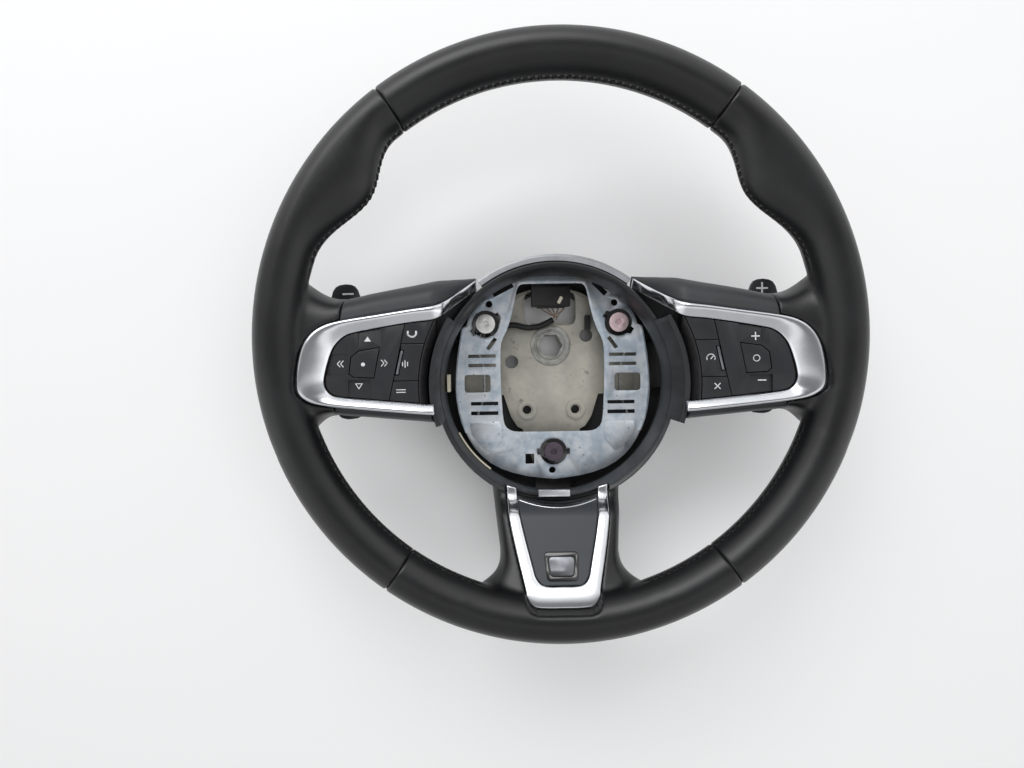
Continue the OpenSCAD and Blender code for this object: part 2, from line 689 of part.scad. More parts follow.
// Distance from the rocker's middle to the ears that carry it
ear_x = 17.8;
pivot_z = -9;
floor_z = -17;
floor_t = 1.5;
module on_panel() {
    translate([lean_x, 0, up(lean_z)])
        rotate([0, -lean, 0])
            translate([-lean_x, 0, 0]) children();
}
module left_side() {
    mirror([1, 0, 0]) children();
}
// Room inside the bezel, grown by d
module field_plan(d, inner) {
    difference() {
        polygon(shifted(flat(spline(bezel_inner, 2)), d));
        translate([0, shroud_y]) circle(r = inner, $fn = 96);
    }
}
// Half plane beyond the divider line, moved by d towards the rim
module beyond_divider(d) {
    polygon([divider[0] + [d, 30], divider[0] + [d, 0], divider[1] + [d, 0], divider[1] + [d, -30],
        [180, -60], [180, 40]]);
}
centre_plan = [[111.9, -3], [124.2, -4.8], [128.9, -8.6], [130.3, -18.8], [127.6, -20.7],
    [115.6, -21.3]];
module rocker_plan(d) {
    intersection() {
        field_plan(-d, key_edge);
        beyond_divider(d / 2);
    }
}
module key_row(low, high, d) {
    difference() {
        intersection() {
            field_plan(-d, key_edge);
            translate([60, low]) square([60, high - low]);
        }
        beyond_divider(-d / 2);
    }
}
module cap(h) {
    translate([0, 0, -h]) linear_extrude(height = h) children();
}
module key_stem(x, y) {
    translate([x, y, floor_z + floor_t + 1.4 + key_travel])
        cylinder(h = -floor_z - floor_t - 1.4 - key_travel - key_t / 2, r = 3, $fn = 32);
}
// Rocker face with its sunk facets, and the legs that carry its pivot stubs
module rocker_face(four_way) {
    difference() {
        translate([0, 0, -key_t]) linear_extrude(height = key_t)
            difference() {
                rocker_plan(key_gap);
                polygon(shifted(centre_plan, key_gap));
            }
        translate([110.6, -3 + key_gap, -0.3]) rotate([-5, 0, 0]) cube([14, 14, 3]);
        translate([117.4, -38.6, -1.1]) rotate([-3, 0, 0]) cube([13.6, 16, 3]);
        if (four_way) {
            translate([131.6, -19.4, -0.6]) rotate([0, 4, 0]) cube([15, 13, 3]);
            translate([96, -21.6, -0.3]) rotate([0, -4, 0]) cube([15.2, 19, 3]);
        }
    }
}
module centre_button() {
    color(key_colour)
        union() {
            cap(key_t + 1) polygon(centre_plan);
            key_stem(rocker_x, rocker_y);
        }
}
module switch_housing() {
    color(black_plastic)
        on_panel()
            difference() {
                union() {
                    translate([0, 0, floor_z])
                        linear_extrude(height = -3.2 - floor_z)
                            difference() {
                                field_plan(2.4, shroud_r + 2 * trim_gap);
                                field_plan(0, key_edge);
                            }
                    translate([0, 0, floor_z]) linear_extrude(height = floor_t) field_plan(1, key_edge - 1);
                    translate([0, 0, floor_z])
                        linear_extrude(height = -0.3 - floor_z)
                            intersection() {
                                field_plan(1, key_edge - key_gap - 1.6);
                                translate([0, shroud_y]) circle(r = key_edge - key_gap, $fn = 96);
                            }
                    translate([0, 0, -3.2])
                        linear_extrude(height = 2.9)
                            intersection() {
                                field_plan(-trim_gap, shroud_r + 2 * trim_gap);
                                translate([0, shroud_y]) circle(r = key_edge - key_gap, $fn = 96);
                            }
                    for (s = [-1, 1])
                        translate([rocker_x + s * ear_x - 1.2, rocker_y - 3, floor_z])
                            cube([2.4, 6, pivot_z + 2.6 - floor_z]);
                    for (y = [-21.5, -2]) translate([126, y, floor_z - 1.6]) cylinder(h = 2, r = 2.4, $fn = 24);
                }
                translate([0, shroud_y, -9.5])
                    cylinder(h = 10.5, r1 = shroud_r - 1, r2 = key_edge - 0.4, $fn = 96);
                translate([40, -60, floor_z - cut]) cube([37, 120, 30]);
                translate([rocker_x - 25, rocker_y, pivot_z])
                    rotate([0, 90, 0]) cylinder(h = 50, r = stub_r + slide_fit, $fn = 32);
            }
}
module switch_board() {
    color([0.1, 0.3, 0.16])
        on_panel()
            translate([0, 0, floor_z + floor_t + seat])
                linear_extrude(height = 1)
                    difference() {
                        field_plan(-1.2, key_edge + 1.4);
                        for (s = [-1, 1])
                            translate([rocker_x + s * ear_x - 2, rocker_y - 4]) square([4, 8]);
                    }
}
module marker_bar() {
    color([0.55, 0.56, 0.58])
        on_panel()
            translate([0, 0, floor_z + floor_t + 1.4])
                linear_extrude(height = -floor_z - floor_t - 1.4 + 0.4)
                    polygon([[97.4, -5], [98.8, -5], [102, -19.4], [100.6, -19.4]]);
}
module middle_button() {
    color(key_colour)
        union() {
            cap(key_t) difference() {
                key_row(row_low + key_gap / 2, row_high - key_gap / 2, key_gap);
                polygon(shifted([[97.4, -5], [100.6, -19.4], [102, -19.4], [98.8, -5]], -key_gap));
            }
            key_stem(93, -12);
        }
}
module upper_button() {
    color(key_colour)
        union() {
            cap(key_t) key_row(row_high + key_gap / 2, 30, key_gap);
            key_stem(88, 6);
        }
}
module lower_button() {
    color(key_colour)
        union() {
            cap(key_t) key_row(-50, row_low - key_gap / 2, key_gap);
            key_stem(97, -29);
        }
}
// Ring that lets the four-way rocker tilt both ways
module gimbal_left() {
    color([0.75, 0.75, 0.72])
        left_side() on_panel()
            translate([rocker_x, rocker_y, pivot_z])
                difference() {
                    union() {
                        translate([0, 0, -1.5]) cylinder(h = 3, r = 13.4, $fn = 64);
                        for (s = [0, 180])
                            rotate([0, 90, s]) translate([0, 0, 12]) cylinder(h = ear_x - 10.6, r = stub_r, $fn = 32);
                    }
                    translate([0, 0, -3]) cylinder(h = 6, r = 10.6, $fn = 64);
                    translate([0, 25, 0]) rotate([90, 0, 0])
                        cylinder(h = 50, r = stub_r + slide_fit, $fn = 32);
                }
}
module rocker_legs(turn) {
    translate([rocker_x, rocker_y, pivot_z])
        for (s = [0, 180])
            rotate([0, 0, turn + s]) {
                if (turn == 90) {
                    translate([14.4, -2.5, -1.6]) cube([2.2, 5, -pivot_z - key_t + 1.6 + cut / 4]);
                    rotate([0, 90, 0]) translate([0, 0, 11.4]) cylinder(h = 4, r = stub_r, $fn = 32);
                } else {
                    translate([ear_x - 3.8, -2.5, -1.6]) cube([2.2, 5, -pivot_z - key_t + 1.6 + cut / 4]);
                    rotate([0, 90, 0]) translate([0, 0, ear_x - 3]) cylinder(h = 4.4, r = stub_r, $fn = 32);
                }
            }
}
module rocker_left() {
    color(key_colour) left_side() on_panel() union() {
        rocker_face(true);
        rocker_legs(90);
    }
}
module rocker_right() {
    color(key_colour) on_panel() union() {
        rocker_face(false);
        rocker_legs(0);
    }
}
module switch_housing_left() {
    left_side() switch_housing();
}
module switch_housing_right() {
    switch_housing();
}
module switch_board_left() {
    left_side() switch_board();
}
module switch_board_right() {
    switch_board();
}
module centre_button_left() {
    left_side() on_panel() centre_button();
}
module centre_button_right() {
    on_panel() centre_button();
}
module call_button() {
    left_side() on_panel() upper_button();
}
module voice_button() {
    left_side() on_panel() middle_button();
}
module mode_button() {
    left_side() on_panel() lower_button();
}
module blank_button() {
    on_panel() upper_button();
}
module limit_button() {
    on_panel() middle_button();
}
module cancel_button() {
    on_panel() lower_button();
}
module marker_bar_left() {
    left_side() marker_bar();
}
module marker_bar_right() {
    marker_bar();
}

// Horn plate, a stamping that floats on three guide pins
plate_half = [[0, -99], [20, -96.6], [38.5, -91], [52, -82], [61.2, -70.2], [67.5, -56], [70.7, -40],
    [plate_hw, -26.7], [69.6, -8], [66, 12.6]];
shoulder_half = [[62.6, 14.6], [60, 22], [54.2, 29.6], [46.8, 36.2], [37, 42.6], [25, 47.2],
    [12, 49.6], [0, 50.4]];
window_half = [[0, -63.9], [20, -63.9], [29, -63.5], [34.4, -60.4], [36.4, -54.7], [37.3, -44],
    [38, -26], [38, -8.5], [37.3, 1.8], [33.5, 10], [30.3, 18.7], [27.5, 30], [25.4, 40], [22.6, 44],
    [17, 44.5], [0, 44.5]];
function whole(p) = concat([for (k = [0:len(p) - 2]) p[k]], mirrored([for (k = [1:len(p) - 1]) p[k]]));
plate_right = concat(spline(plate_half, 2), spline(shoulder_half, 2));
emboss_plan = [[38.6, -57], [61.4, -56.6], [59.4, -65.6], [52, -74.8], [45.4, -78.6], [38, -69.6],
    [37, -62.6]];
module slot(a, b, w) {
    u = unit(b - a);
    v = [-u[1], u[0]] * w / 2;
    polygon([a + v, a - v, b - v, b + v]);
}
module horn_plate() {
    color(zinc_colour)
        difference() {
            union() {
                translate([0, 0, plate_z]) linear_extrude(height = plate_t) polygon(whole(plate_right));
                translate([0, 0, plate_top - 0.01])
                    linear_extrude(height = 1.2)
                        intersection() {
                            difference() {
                                polygon(whole(plate_right));
                                polygon(shifted(whole(plate_right), 1.6));
                            }
                            translate([-80, -64]) square([160, 78]);
                        }
                mirror_pair() translate([0, 0, plate_top - 0.01])
                    linear_extrude(height = 1) polygon(rounded(emboss_plan, 2));
            }
            mirror_pair() translate([0, 0, plate_z - 0.01])
                linear_extrude(height = 1) polygon(rounded(shifted(emboss_plan, 1.2), 1.4));
            translate([0, 0, plate_z - cut])
                linear_extrude(height = plate_t + 4) {
                    polygon(whole(spline(window_half, 2)));
                    mirror_pair() {
                        translate([45.6, -34.4])
                            polygon(rounded([[0, 0], [19, 0], [19, 13], [0, 13]], 2));
                        translate([41.6, -9]) square([20, 2.4]);
                        translate([41.6, -15.8]) square([20, 2.4]);
                        translate([40.2, -44]) square([20, 2.6]);
                        translate([40.2, -51.2]) square([20, 2.8]);
                        slot([41.4, 5], [47.3, -3], 2.8);
                    }
                    slot([-43, 37.4], [-28.6, 44.6], 5);
                    slot([30.6, 45.6], [39.8, 36.4], 4);
                    translate([-20.7, -87.6]) square([6.4, 7.4]);
                }
            for (p = [[45.8, 30.1], [-45.8, 30.1], [-1, -92.4]])
                translate([p[0], p[1], plate_z - cut]) cylinder(h = plate_t + 4, r = 2.4, $fn = 32);
            guide_positions() translate([0, 0, plate_z - cut])
                cylinder(h = plate_t + 4, r = bush_r - 1.4, $fn = 48);
        }
}
flange_t = 1.6;
module bushing(turn) {
    color(black_plastic)
        difference() {
            union() {
                translate([0, 0, plate_top + 0.02]) cylinder(h = flange_t, r = bush_r, $fn = 48);
                translate([0, 0, plate_z - 2]) cylinder(h = plate_t + 2.2, r = bush_r - 1.45, $fn = 48);
                for (s = [0, 180])
                    rotate([0, 0, turn + s])
                        translate([bush_r - 1, -2.2, plate_top + 0.02]) cube([3.2, 4.4, flange_t]);
            }
            translate([0, 0, plate_z - 3]) cylinder(h = 10, r = pin_r + slide_fit, $fn = 48);
        }
}
module bushing_left() {
    translate([-pin_x, pin_y, 0]) bushing(33);
}
module bushing_right() {
    translate([pin_x, pin_y, 0]) bushing(-33);
}
module bushing_lower() {
    translate([0, -pin_low, 0]) bushing(0);
}
module guide_pins() {
    color([0.85, 0.85, 0.86])
        guide_positions()
            difference() {
                union() {
                    translate([0, 0, hub_back - 1.6]) cylinder(h = plate_top + flange_t + 0.3 - hub_back + 1.7, r = pin_r, $fn = 48);
                    translate([0, 0, plate_top + flange_t + 0.3]) cylinder(h = 1.5, r = pin_head_r, $fn = 48);
                }
                translate([0, 0, plate_top + flange_t - 1]) cylinder(h = 4, r = 2.1, $fn = 32);
            }
}
// Coil spring of round wire between the hub plate and a bushing
spring_r = 5.4;
spring_wire = 0.6;
spring_turns = 4;
module horn_spring() {
    low = hub_z + spring_wire + seat;
    high = plate_z - 2 - spring_wire - seat;
    color([0.5, 0.5, 0.52])
        tube([for (k = [0:8 * spring_turns])
            let (t = k / (8 * spring_turns), a = 45 * k)
            [spring_r * cos(a), spring_r * sin(a), mix(low, high, t)]], spring_wire, 6);
}
module horn_spring_left() {
    translate([-pin_x, pin_y, 0]) horn_spring();
}
module horn_spring_right() {
    translate([pin_x, pin_y, 0]) horn_spring();
}
module horn_spring_lower() {
    translate([0, -pin_low, 0]) horn_spring();
}
// Bent wire that the airbag's hooks snap behind
wire_r = 0.9;
wire_route = [[56, -2], [53.4, -7], [51, -13], [50, -21], [49.8, -28], [50, -36], [52, -43], [54.6, -48],
    [55, -53]];
module snap_wire() {
    color([0.6, 0.61, 0.62])
        tube([for (p = spline(wire_route, 2)) [p[0], p[1], plate_z - wire_r - seat]], wire_r, 6);
}
module snap_wire_left() {
    left_side() snap_wire();
}
module snap_wire_right() {
    snap_wire();
}
module side_clip() {
    color([0.85, 0.82, 0.7])
        translate([-band_inner + seat + 0.6, shroud_y - 5.6, band_low - 1])
            cube([2.4, 12.6, 5]);
}

// Horn connector on the hub plate, its leads and the taped loom to the left switches
module connector() {
    color(black_plastic)
        translate([-14.4, 29, hub_z + seat])
            difference() {
                union() {
                    translate([0, 14, 0]) cube([28.8, 4, 9]);
                    cube([28.8, 14.1, 12]);
                    translate([4, -1.2, 3]) cube([20.8, 2, 6]);
                }
                for (k = [0:4]) translate([6.1 + 4.2 * k, -2, 4.6]) cube([2.4, 4, 2.8]);
            }
}
lead_start = [[-6.7, 0], [-2.5, 0], [1.7, 0], [5.9, 0], [10.1, 0]];
lead_join = [3.4, 20.6, 26.4];
lead_r = 0.6;
module connector_leads() {
    color([0.35, 0.3, 0.28])
        for (k = [0:4])
            tube(spline([[-6.9 + 4.2 * k, 28.6, 26.2], [-6.7 + 4.1 * k, 27, 26.6],
                [mix(-6.7 + 4.1 * k, lead_join[0], 0.6), 24 - abs(k - 2) * 0.4, 27 + k * 0.2],
                lead_join + [1.3 * cos(72 * k), 1.3 * sin(72 * k), 0]
                    + 0.6 * [cos(72 * k), sin(72 * k), 0]], 2), lead_r, 6);
}
loom_route = [[1.8, 19.2, 26.4], [-3, 16.6, 26], [-10, 14, 25.6], [-18, 13.4, 25.4], [-27, 15.5, 25.4],
    [-34, 14.5, 25.6], [-38, 10, 26], [-43, 5.5, 26.4], [-50, 3.8, 26], [-60, 4, 25.4], [-70, 4, 26.6],
    [-78, 4, 32], [-85, 3.6, 40], [-91, 3.5, 52], [-96, 3.5, 65], [-98.4, 3.6, 74], [-98.6, 4.4, 81.8]];
loom_r = 2.2;
module loom() {
    color([0.05, 0.05, 0.05]) tube(spline(loom_route, 2), loom_r, 8);
}

// Shift paddle on a pin behind the spoke, drawn for the right side
paddle_z = 64;
paddle_plan = [[108, 3], [107.6, -8], [108, -19], [116, -25], [124, -30], [129, -40], [133, -48],
    [139, -50], [146, -49.4], [149.6, -44], [151.6, -20], [152.4, 6], [152.6, 26], [150.6, 37],
    [146, 41.2], [138, 41.4], [134, 38], [130.8, 28], [126, 16], [117, 8]];
paddle_ear = 3.2;
paddle_barrel = 17.2;
paddle_low = -16.6;
paddle_play = 0.4;
module paddle() {
    color(skin_colour)
        difference() {
            union() {
                translate([0, 0, paddle_z - paddle_t / 2 + 1])
                    linear_extrude(height = paddle_t)
                        difference() {
                            polygon(closed_spline(paddle_plan, 2));
                            translate([80, paddle_low - 10])
                                square([paddle_pivot_x + 5.4 - 80, 10]);
                            translate([80, paddle_low + paddle_barrel])
                                square([paddle_pivot_x + 5.4 - 80, 10]);
                        }
                translate([paddle_pivot_x, paddle_low + paddle_barrel, paddle_z]) rotate([90, 0, 0])
                    cylinder(h = paddle_barrel, r = 3.4, $fn = 48);
            }
            translate([paddle_pivot_x, 40, paddle_z]) rotate([90, 0, 0])
                cylinder(h = 80, r = paddle_pin_r + slide_fit, $fn = 48);
        }
}
module paddle_pin() {
    reach = paddle_play + paddle_ear + 0.4;
    color([0.7, 0.7, 0.71])
        translate([paddle_pivot_x, paddle_low + paddle_barrel + reach, paddle_z]) rotate([90, 0, 0])
            cylinder(h = paddle_barrel + 2 * reach, r = paddle_pin_r, $fn = 48);
}
// Bracket under the spoke cover that holds the paddle's pin
module paddle_base() {
    low = paddle_low - paddle_play - paddle_ear;
    high = paddle_low + paddle_barrel + paddle_play;
    color(black_plastic)
        difference() {
            union() {
                for (y = [low, high])
                    translate([paddle_pivot_x - 4, y, paddle_z - 4]) cube([8, paddle_ear, 9.8]);
                translate([paddle_pivot_x - 4, low, paddle_z + 3.9])
                    cube([8, high - low + paddle_ear, 1.9]);
            }
            translate([paddle_pivot_x, 40, paddle_z]) rotate([90, 0, 0])
                cylinder(h = 80, r = paddle_pin_r + 0.03, $fn = 48);
        }
}
module paddle_right() {
    paddle();
}
module paddle_left() {
    left_side() paddle();
}
module paddle_pin_right() {
    paddle_pin();
}
module paddle_pin_left() {
    left_side() paddle_pin();
}
module paddle_base_right() {
    paddle_base();
}
module paddle_base_left() {
    left_side() paddle_base();
}

armature();
hub_insert();
rim_foam();
leather_top();
leather_right();
leather_bottom();
leather_left();
spoke_cover_right();
spoke_cover_left();
hub_shroud();
rear_cover();
bezel_right();
bezel_left();
arc_trim();
lower_trim();
lower_panel();
lower_clip();
badge_frame();
badge_insert();
switch_housing_left();
switch_board_left();
gimbal_left();
rocker_left();
centre_button_left();
call_button();
voice_button();
mode_button();
marker_bar_left();
switch_housing_right();
switch_board_right();
rocker_right();
centre_button_right();
blank_button();
limit_button();
cancel_button();
marker_bar_right();
horn_plate();
bushing_left();
bushing_right();
bushing_lower();
guide_pins();
horn_spring_left();
horn_spring_right();
horn_spring_lower();
snap_wire_left();
snap_wire_right();
side_clip();
connector();
connector_leads();
loom();
paddle_right();
paddle_pin_right();
paddle_base_right();
paddle_left();
paddle_pin_left();
paddle_base_left();
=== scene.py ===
"""Looks of a car steering wheel: leather rim, bright trims, switch panels and the open hub.

Sizes are in millimetres in the wheel's own frame: origin on the hub axis in the collar's resting
plane, X right, Y to twelve o'clock, Z towards the driver. Meshes are written in metres.
"""

import json
import logging
import math
from dataclasses import dataclass, field
from enum import Enum

import bmesh
import bpy
import numpy as np
from mathutils import Matrix, Vector
from mathutils.bvhtree import BVHTree


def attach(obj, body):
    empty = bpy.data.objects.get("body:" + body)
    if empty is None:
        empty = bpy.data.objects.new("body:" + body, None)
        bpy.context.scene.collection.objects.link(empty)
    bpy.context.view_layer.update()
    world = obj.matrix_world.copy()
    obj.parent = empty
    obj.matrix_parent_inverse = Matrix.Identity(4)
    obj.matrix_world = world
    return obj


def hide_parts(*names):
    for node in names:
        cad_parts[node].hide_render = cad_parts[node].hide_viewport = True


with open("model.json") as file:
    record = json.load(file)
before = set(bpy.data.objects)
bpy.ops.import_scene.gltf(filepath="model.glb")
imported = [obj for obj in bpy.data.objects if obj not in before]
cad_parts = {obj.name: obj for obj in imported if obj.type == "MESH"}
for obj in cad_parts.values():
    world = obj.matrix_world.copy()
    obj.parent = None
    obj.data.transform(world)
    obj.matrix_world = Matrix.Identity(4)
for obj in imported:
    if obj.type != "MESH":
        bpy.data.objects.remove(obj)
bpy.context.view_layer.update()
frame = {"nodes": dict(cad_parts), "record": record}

MM = 0.001
RIM_Z = 104.0
SHROUD_Y = -27.7
SHROUD_R = 82.5
MERGE_GAP_M = 2e-6
FLAT_DEG = 0.4
BEVEL_DEG = 32.0
BEVEL_FACES = 2
SHARP_DEG = 34.0
LOG = logging.getLogger("wheel")

Array = np.ndarray


class Side(Enum):
    """Which half of the wheel a mirrored piece stands on."""

    RIGHT = 1
    LEFT = -1

    @property
    def word(self) -> str:
        """Name of the side as the nodes write it."""
        return self.name.lower()


# Mesh helpers


def smooth_step(x: Array, low: float, high: float) -> Array:
    """Value from 0 to 1 with flat ends, as x goes from low to high.

    Args:
        x: Values.
        low: Where the step starts.
        high: Where the step ends.

    Returns:
        t * t * (3 - 2 t) with t the share of the way from low to high.
    """
    t = np.clip((np.asarray(x, float) - low) / (high - low), 0, 1)
    return t * t * (3 - 2 * t)


def spline(points: list, count: int, closed: bool = False) -> Array:
    """Smooth curve through points, evenly spaced along its length.

    Args:
        points: Points that the curve passes through.
        count: Number of points returned.
        closed: Whether the last point joins the first.

    Returns:
        Array of count points on the Catmull-Rom curve, whose cubic pieces take their end
        tangents from the neighbouring points.
    """
    p = np.asarray(points, float)
    if closed:
        q = np.vstack([p[-1], p, p[0], p[1]])
    else:
        q = np.vstack([2 * p[0] - p[1], p, 2 * p[-1] - p[-2]])
    t = np.linspace(0, 1, 24, endpoint=False)[None, :, None]
    a, b, c, d = q[:-3, None], q[1:-2, None], q[2:-1, None], q[3:, None]
    dense = (2 * b + (c - a) * t + (2 * a - 5 * b + 4 * c - d) * t**2 + (3 * b - a - 3 * c + d) * t**3) / 2
    dense = dense.reshape(-1, p.shape[1])
    dense = np.vstack([dense, p[0] if closed else p[-1]])
    run = np.concatenate([[0], np.cumsum(np.linalg.norm(np.diff(dense, axis=0), axis=1))])
    at = np.linspace(0, run[-1], count, endpoint=not closed)
    return np.stack([np.interp(at, run, dense[:, k]) for k in range(p.shape[1])], axis=1)


def grid_faces(rows: int, cols: int, wrap_rows: bool, wrap_cols: bool) -> Array:
    """Quads of a grid of points stored row by row.

    Args:
        rows: Number of rows.
        cols: Number of points in a row.
        wrap_rows: Whether the last row joins the first.
        wrap_cols: Whether the last column joins the first.

    Returns:
        Array of four indices per quad.
    """
    i = np.arange(rows if wrap_rows else rows - 1)[:, None]
    j = np.arange(cols if wrap_cols else cols - 1)[None, :]
    k, m = (i + 1) % rows, (j + 1) % cols
    quads = np.stack([i * cols + j, i * cols + m, k * cols + m, k * cols + j], axis=-1)
    return quads.reshape(-1, 4)


def signed_volume(verts: Array, faces: list) -> float:
    """Six times the volume that faces enclose, positive where they point outwards."""
    total = 0.0
    for block in faces:
        a = verts[block[:, 0]]
        for k in range(1, block.shape[1] - 1):
            b, c = verts[block[:, k]], verts[block[:, k + 1]]
            total += float(np.einsum("ij,ij->i", a, np.cross(b, c)).sum())
    return total


def write_mesh(name: str, verts: Array, faces: list) -> bpy.types.Object:
    """Puts vertices and blocks of faces into a new object at the origin.

    Args:
        name: Name of the object.
        verts: Vertices in millimetres.
        faces: Index arrays, each with one number of corners per face.

    Returns:
        The object, whose faces point outwards.
    """
    verts = np.asarray(verts, float).reshape(-1, 3)
    blocks = [np.asarray(b, np.int64) for b in faces if len(b)]
    if signed_volume(verts, blocks) < 0:
        blocks = [b[:, ::-1] for b in blocks]
    loops = np.concatenate([b.reshape(-1) for b in blocks])
    sizes = np.concatenate([np.full(len(b), b.shape[1]) for b in blocks])
    starts = np.concatenate([[0], np.cumsum(sizes)[:-1]])
    mesh = bpy.data.meshes.new(name)
    mesh.vertices.add(len(verts))
    mesh.vertices.foreach_set("co", (verts * MM).astype(np.float32).reshape(-1))
    mesh.loops.add(len(loops))
    mesh.loops.foreach_set("vertex_index", loops.astype(np.int32))
    mesh.polygons.add(len(sizes))
    mesh.polygons.foreach_set("loop_start", starts.astype(np.int32))
    mesh.polygons.foreach_set("use_smooth", np.ones(len(sizes), bool))
    mesh.update(calc_edges=True)
    mesh.validate()
    piece = bpy.data.objects.new(name, mesh)
    bpy.context.scene.collection.objects.link(piece)
    return piece


def merged(parts: list) -> tuple[Array, list]:
    """Joins parts, each a pair of vertices and face blocks, into one such pair."""
    verts, faces, start = [], [], 0
    for v, blocks in parts:
        blocks = [np.asarray(b) for b in blocks]
        if signed_volume(v, blocks) < 0:
            blocks = [b[:, ::-1] for b in blocks]
        verts.append(v)
        faces.extend(b + start for b in blocks)
        start += len(v)
    return np.vstack(verts), faces


def lofted(rings: Array, loop: bool = False) -> tuple[Array, list]:
    """Closed skin over rings of points, with fans of triangles over both ends.

    Args:
        rings: Array of rings, points and coordinates.
        loop: Whether the last ring joins the first, so that there are no ends.

    Returns:
        Vertices and face blocks.
    """
    rows, cols = rings.shape[:2]
    verts = rings.reshape(-1, 3)
    faces = [grid_faces(rows, cols, loop, True)]
    if not loop:
        centres = np.stack([rings[0].mean(0), rings[-1].mean(0)])
        j = np.arange(cols)
        m = (j + 1) % cols
        n = len(verts)
        last = (rows - 1) * cols
        faces.append(np.stack([np.full(cols, n), m, j], axis=1))
        faces.append(np.stack([np.full(cols, n + 1), last + j, last + m], axis=1))
        verts = np.vstack([verts, centres])
    return verts, faces


def frames_along(path: Array) -> tuple[Array, Array]:
    """Two unit vectors square to a path at each of its points.

    Args:
        path: Points along the path.

    Returns:
        The side vectors, which are also square to one fixed direction, and the up vectors.
    """
    t = np.gradient(path, axis=0)
    t /= np.linalg.norm(t, axis=1, keepdims=True)
    u = np.cross(t, np.array([0.13, 0.21, 1.0]))
    u /= np.linalg.norm(u, axis=1, keepdims=True)
    return u, np.cross(u, t)


def swept_tube(path: Array, radius: float, sides: int) -> tuple[Array, list]:
    """Round tube along a path: path + radius * (cos a * side + sin a * up).

    Args:
        path: Points along the middle of the tube.
        radius: Radius in millimetres.
        sides: Number of sides.

    Returns:
        Vertices and face blocks of the closed tube.
    """
    u, v = frames_along(path)
    a = np.linspace(0, 2 * math.pi, sides, endpoint=False)[None, :, None]
    rings = path[:, None] + radius * (np.cos(a) * u[:, None] + np.sin(a) * v[:, None])
    return lofted(rings)


def revolved(profile: list, start: float, stop: float, steps: int) -> tuple[Array, list]:
    """Closed profile turned about the shroud's axis.

    Args:
        profile: Rows of radius and height in millimetres, counted round the section.
        start: First angle in degrees.
        stop: Last angle in degrees.
        steps: Number of sections.

    Returns:
        Vertices and face blocks: (r cos a, centre + r sin a, z) for each angle and profile point.
    """
    p = np.asarray(profile, float)
    full = abs(stop - start) >= 360
    a = np.radians(np.linspace(start, stop, steps, endpoint=not full))[:, None]
    rings = np.stack([p[None, :, 0] * np.cos(a), SHROUD_Y + p[None, :, 0] * np.sin(a),
                      np.broadcast_to(p[None, :, 1], (steps, len(p)))], axis=-1)
    return lofted(rings, loop=full)


def rounded_outline(corners: list, radius: float, steps: int = 6) -> Array:
    """Outline with each corner replaced by an arc of the radius, tangent to both sides."""
    p = np.asarray(corners, float)
    before, after = np.roll(p, 1, axis=0), np.roll(p, -1, axis=0)
    u = (before - p) / np.linalg.norm(before - p, axis=1, keepdims=True)
    v = (after - p) / np.linalg.norm(after - p, axis=1, keepdims=True)
    half = np.arccos(np.clip((u * v).sum(1), -0.999, 0.999)) / 2
    reach = np.minimum(radius / np.tan(half), 0.45 * np.linalg.norm(after - p, axis=1))[:, None]
    a, b = p + u * reach, p + v * reach
    t = np.linspace(0, 1, steps + 1)[None, :, None]
    arcs = (1 - t) ** 2 * a[:, None] + 2 * t * (1 - t) * p[:, None] + t**2 * b[:, None]
    return arcs.reshape(-1, 2)


def outline_distance(points: Array, outline: Array) -> Array:
    """Distance of plan points from a closed outline, positive inside it.

    Args:
        points: Plan points.
        outline: Corners of the outline.

    Returns:
        Signed distance: the least distance to any side, and the sign from the number of sides
        that a ray to the right crosses.
    """
    a, b = outline, np.roll(outline, -1, axis=0)
    edge = b - a
    rel = points[:, None] - a[None]
    t = np.clip((rel * edge).sum(-1) / (edge**2).sum(-1), 0, 1)
    gap = np.linalg.norm(rel - t[..., None] * edge, axis=-1).min(1)
    y = points[:, 1:2]
    spans = (a[None, :, 1] > y) != (b[None, :, 1] > y)
    rise = np.where(edge[:, 1] == 0, 1e-9, edge[:, 1])
    cross_x = a[None, :, 0] + (y - a[None, :, 1]) * edge[None, :, 0] / rise[None]
    inside = (spans & (points[:, 0:1] < cross_x)).sum(1) % 2 == 1
    return np.where(inside, gap, -gap)


def evaluated(piece: bpy.types.Object) -> bpy.types.Object:
    """Applies a piece's modifiers by taking the mesh that they give."""
    graph = bpy.context.evaluated_depsgraph_get()
    mesh = bpy.data.meshes.new_from_object(piece.evaluated_get(graph))
    piece.modifiers.clear()
    piece.data = mesh
    return piece


def coordinates(piece: bpy.types.Object) -> Array:
    """Vertices of a piece in millimetres."""
    co = np.empty(len(piece.data.vertices) * 3, np.float32)
    piece.data.vertices.foreach_get("co", co)
    return co.reshape(-1, 3).astype(float) / MM


def set_coordinates(piece: bpy.types.Object, verts: Array) -> None:
    """Writes a piece's vertices, given in millimetres."""
    piece.data.vertices.foreach_set("co", (verts * MM).astype(np.float32).reshape(-1))
    piece.data.update()


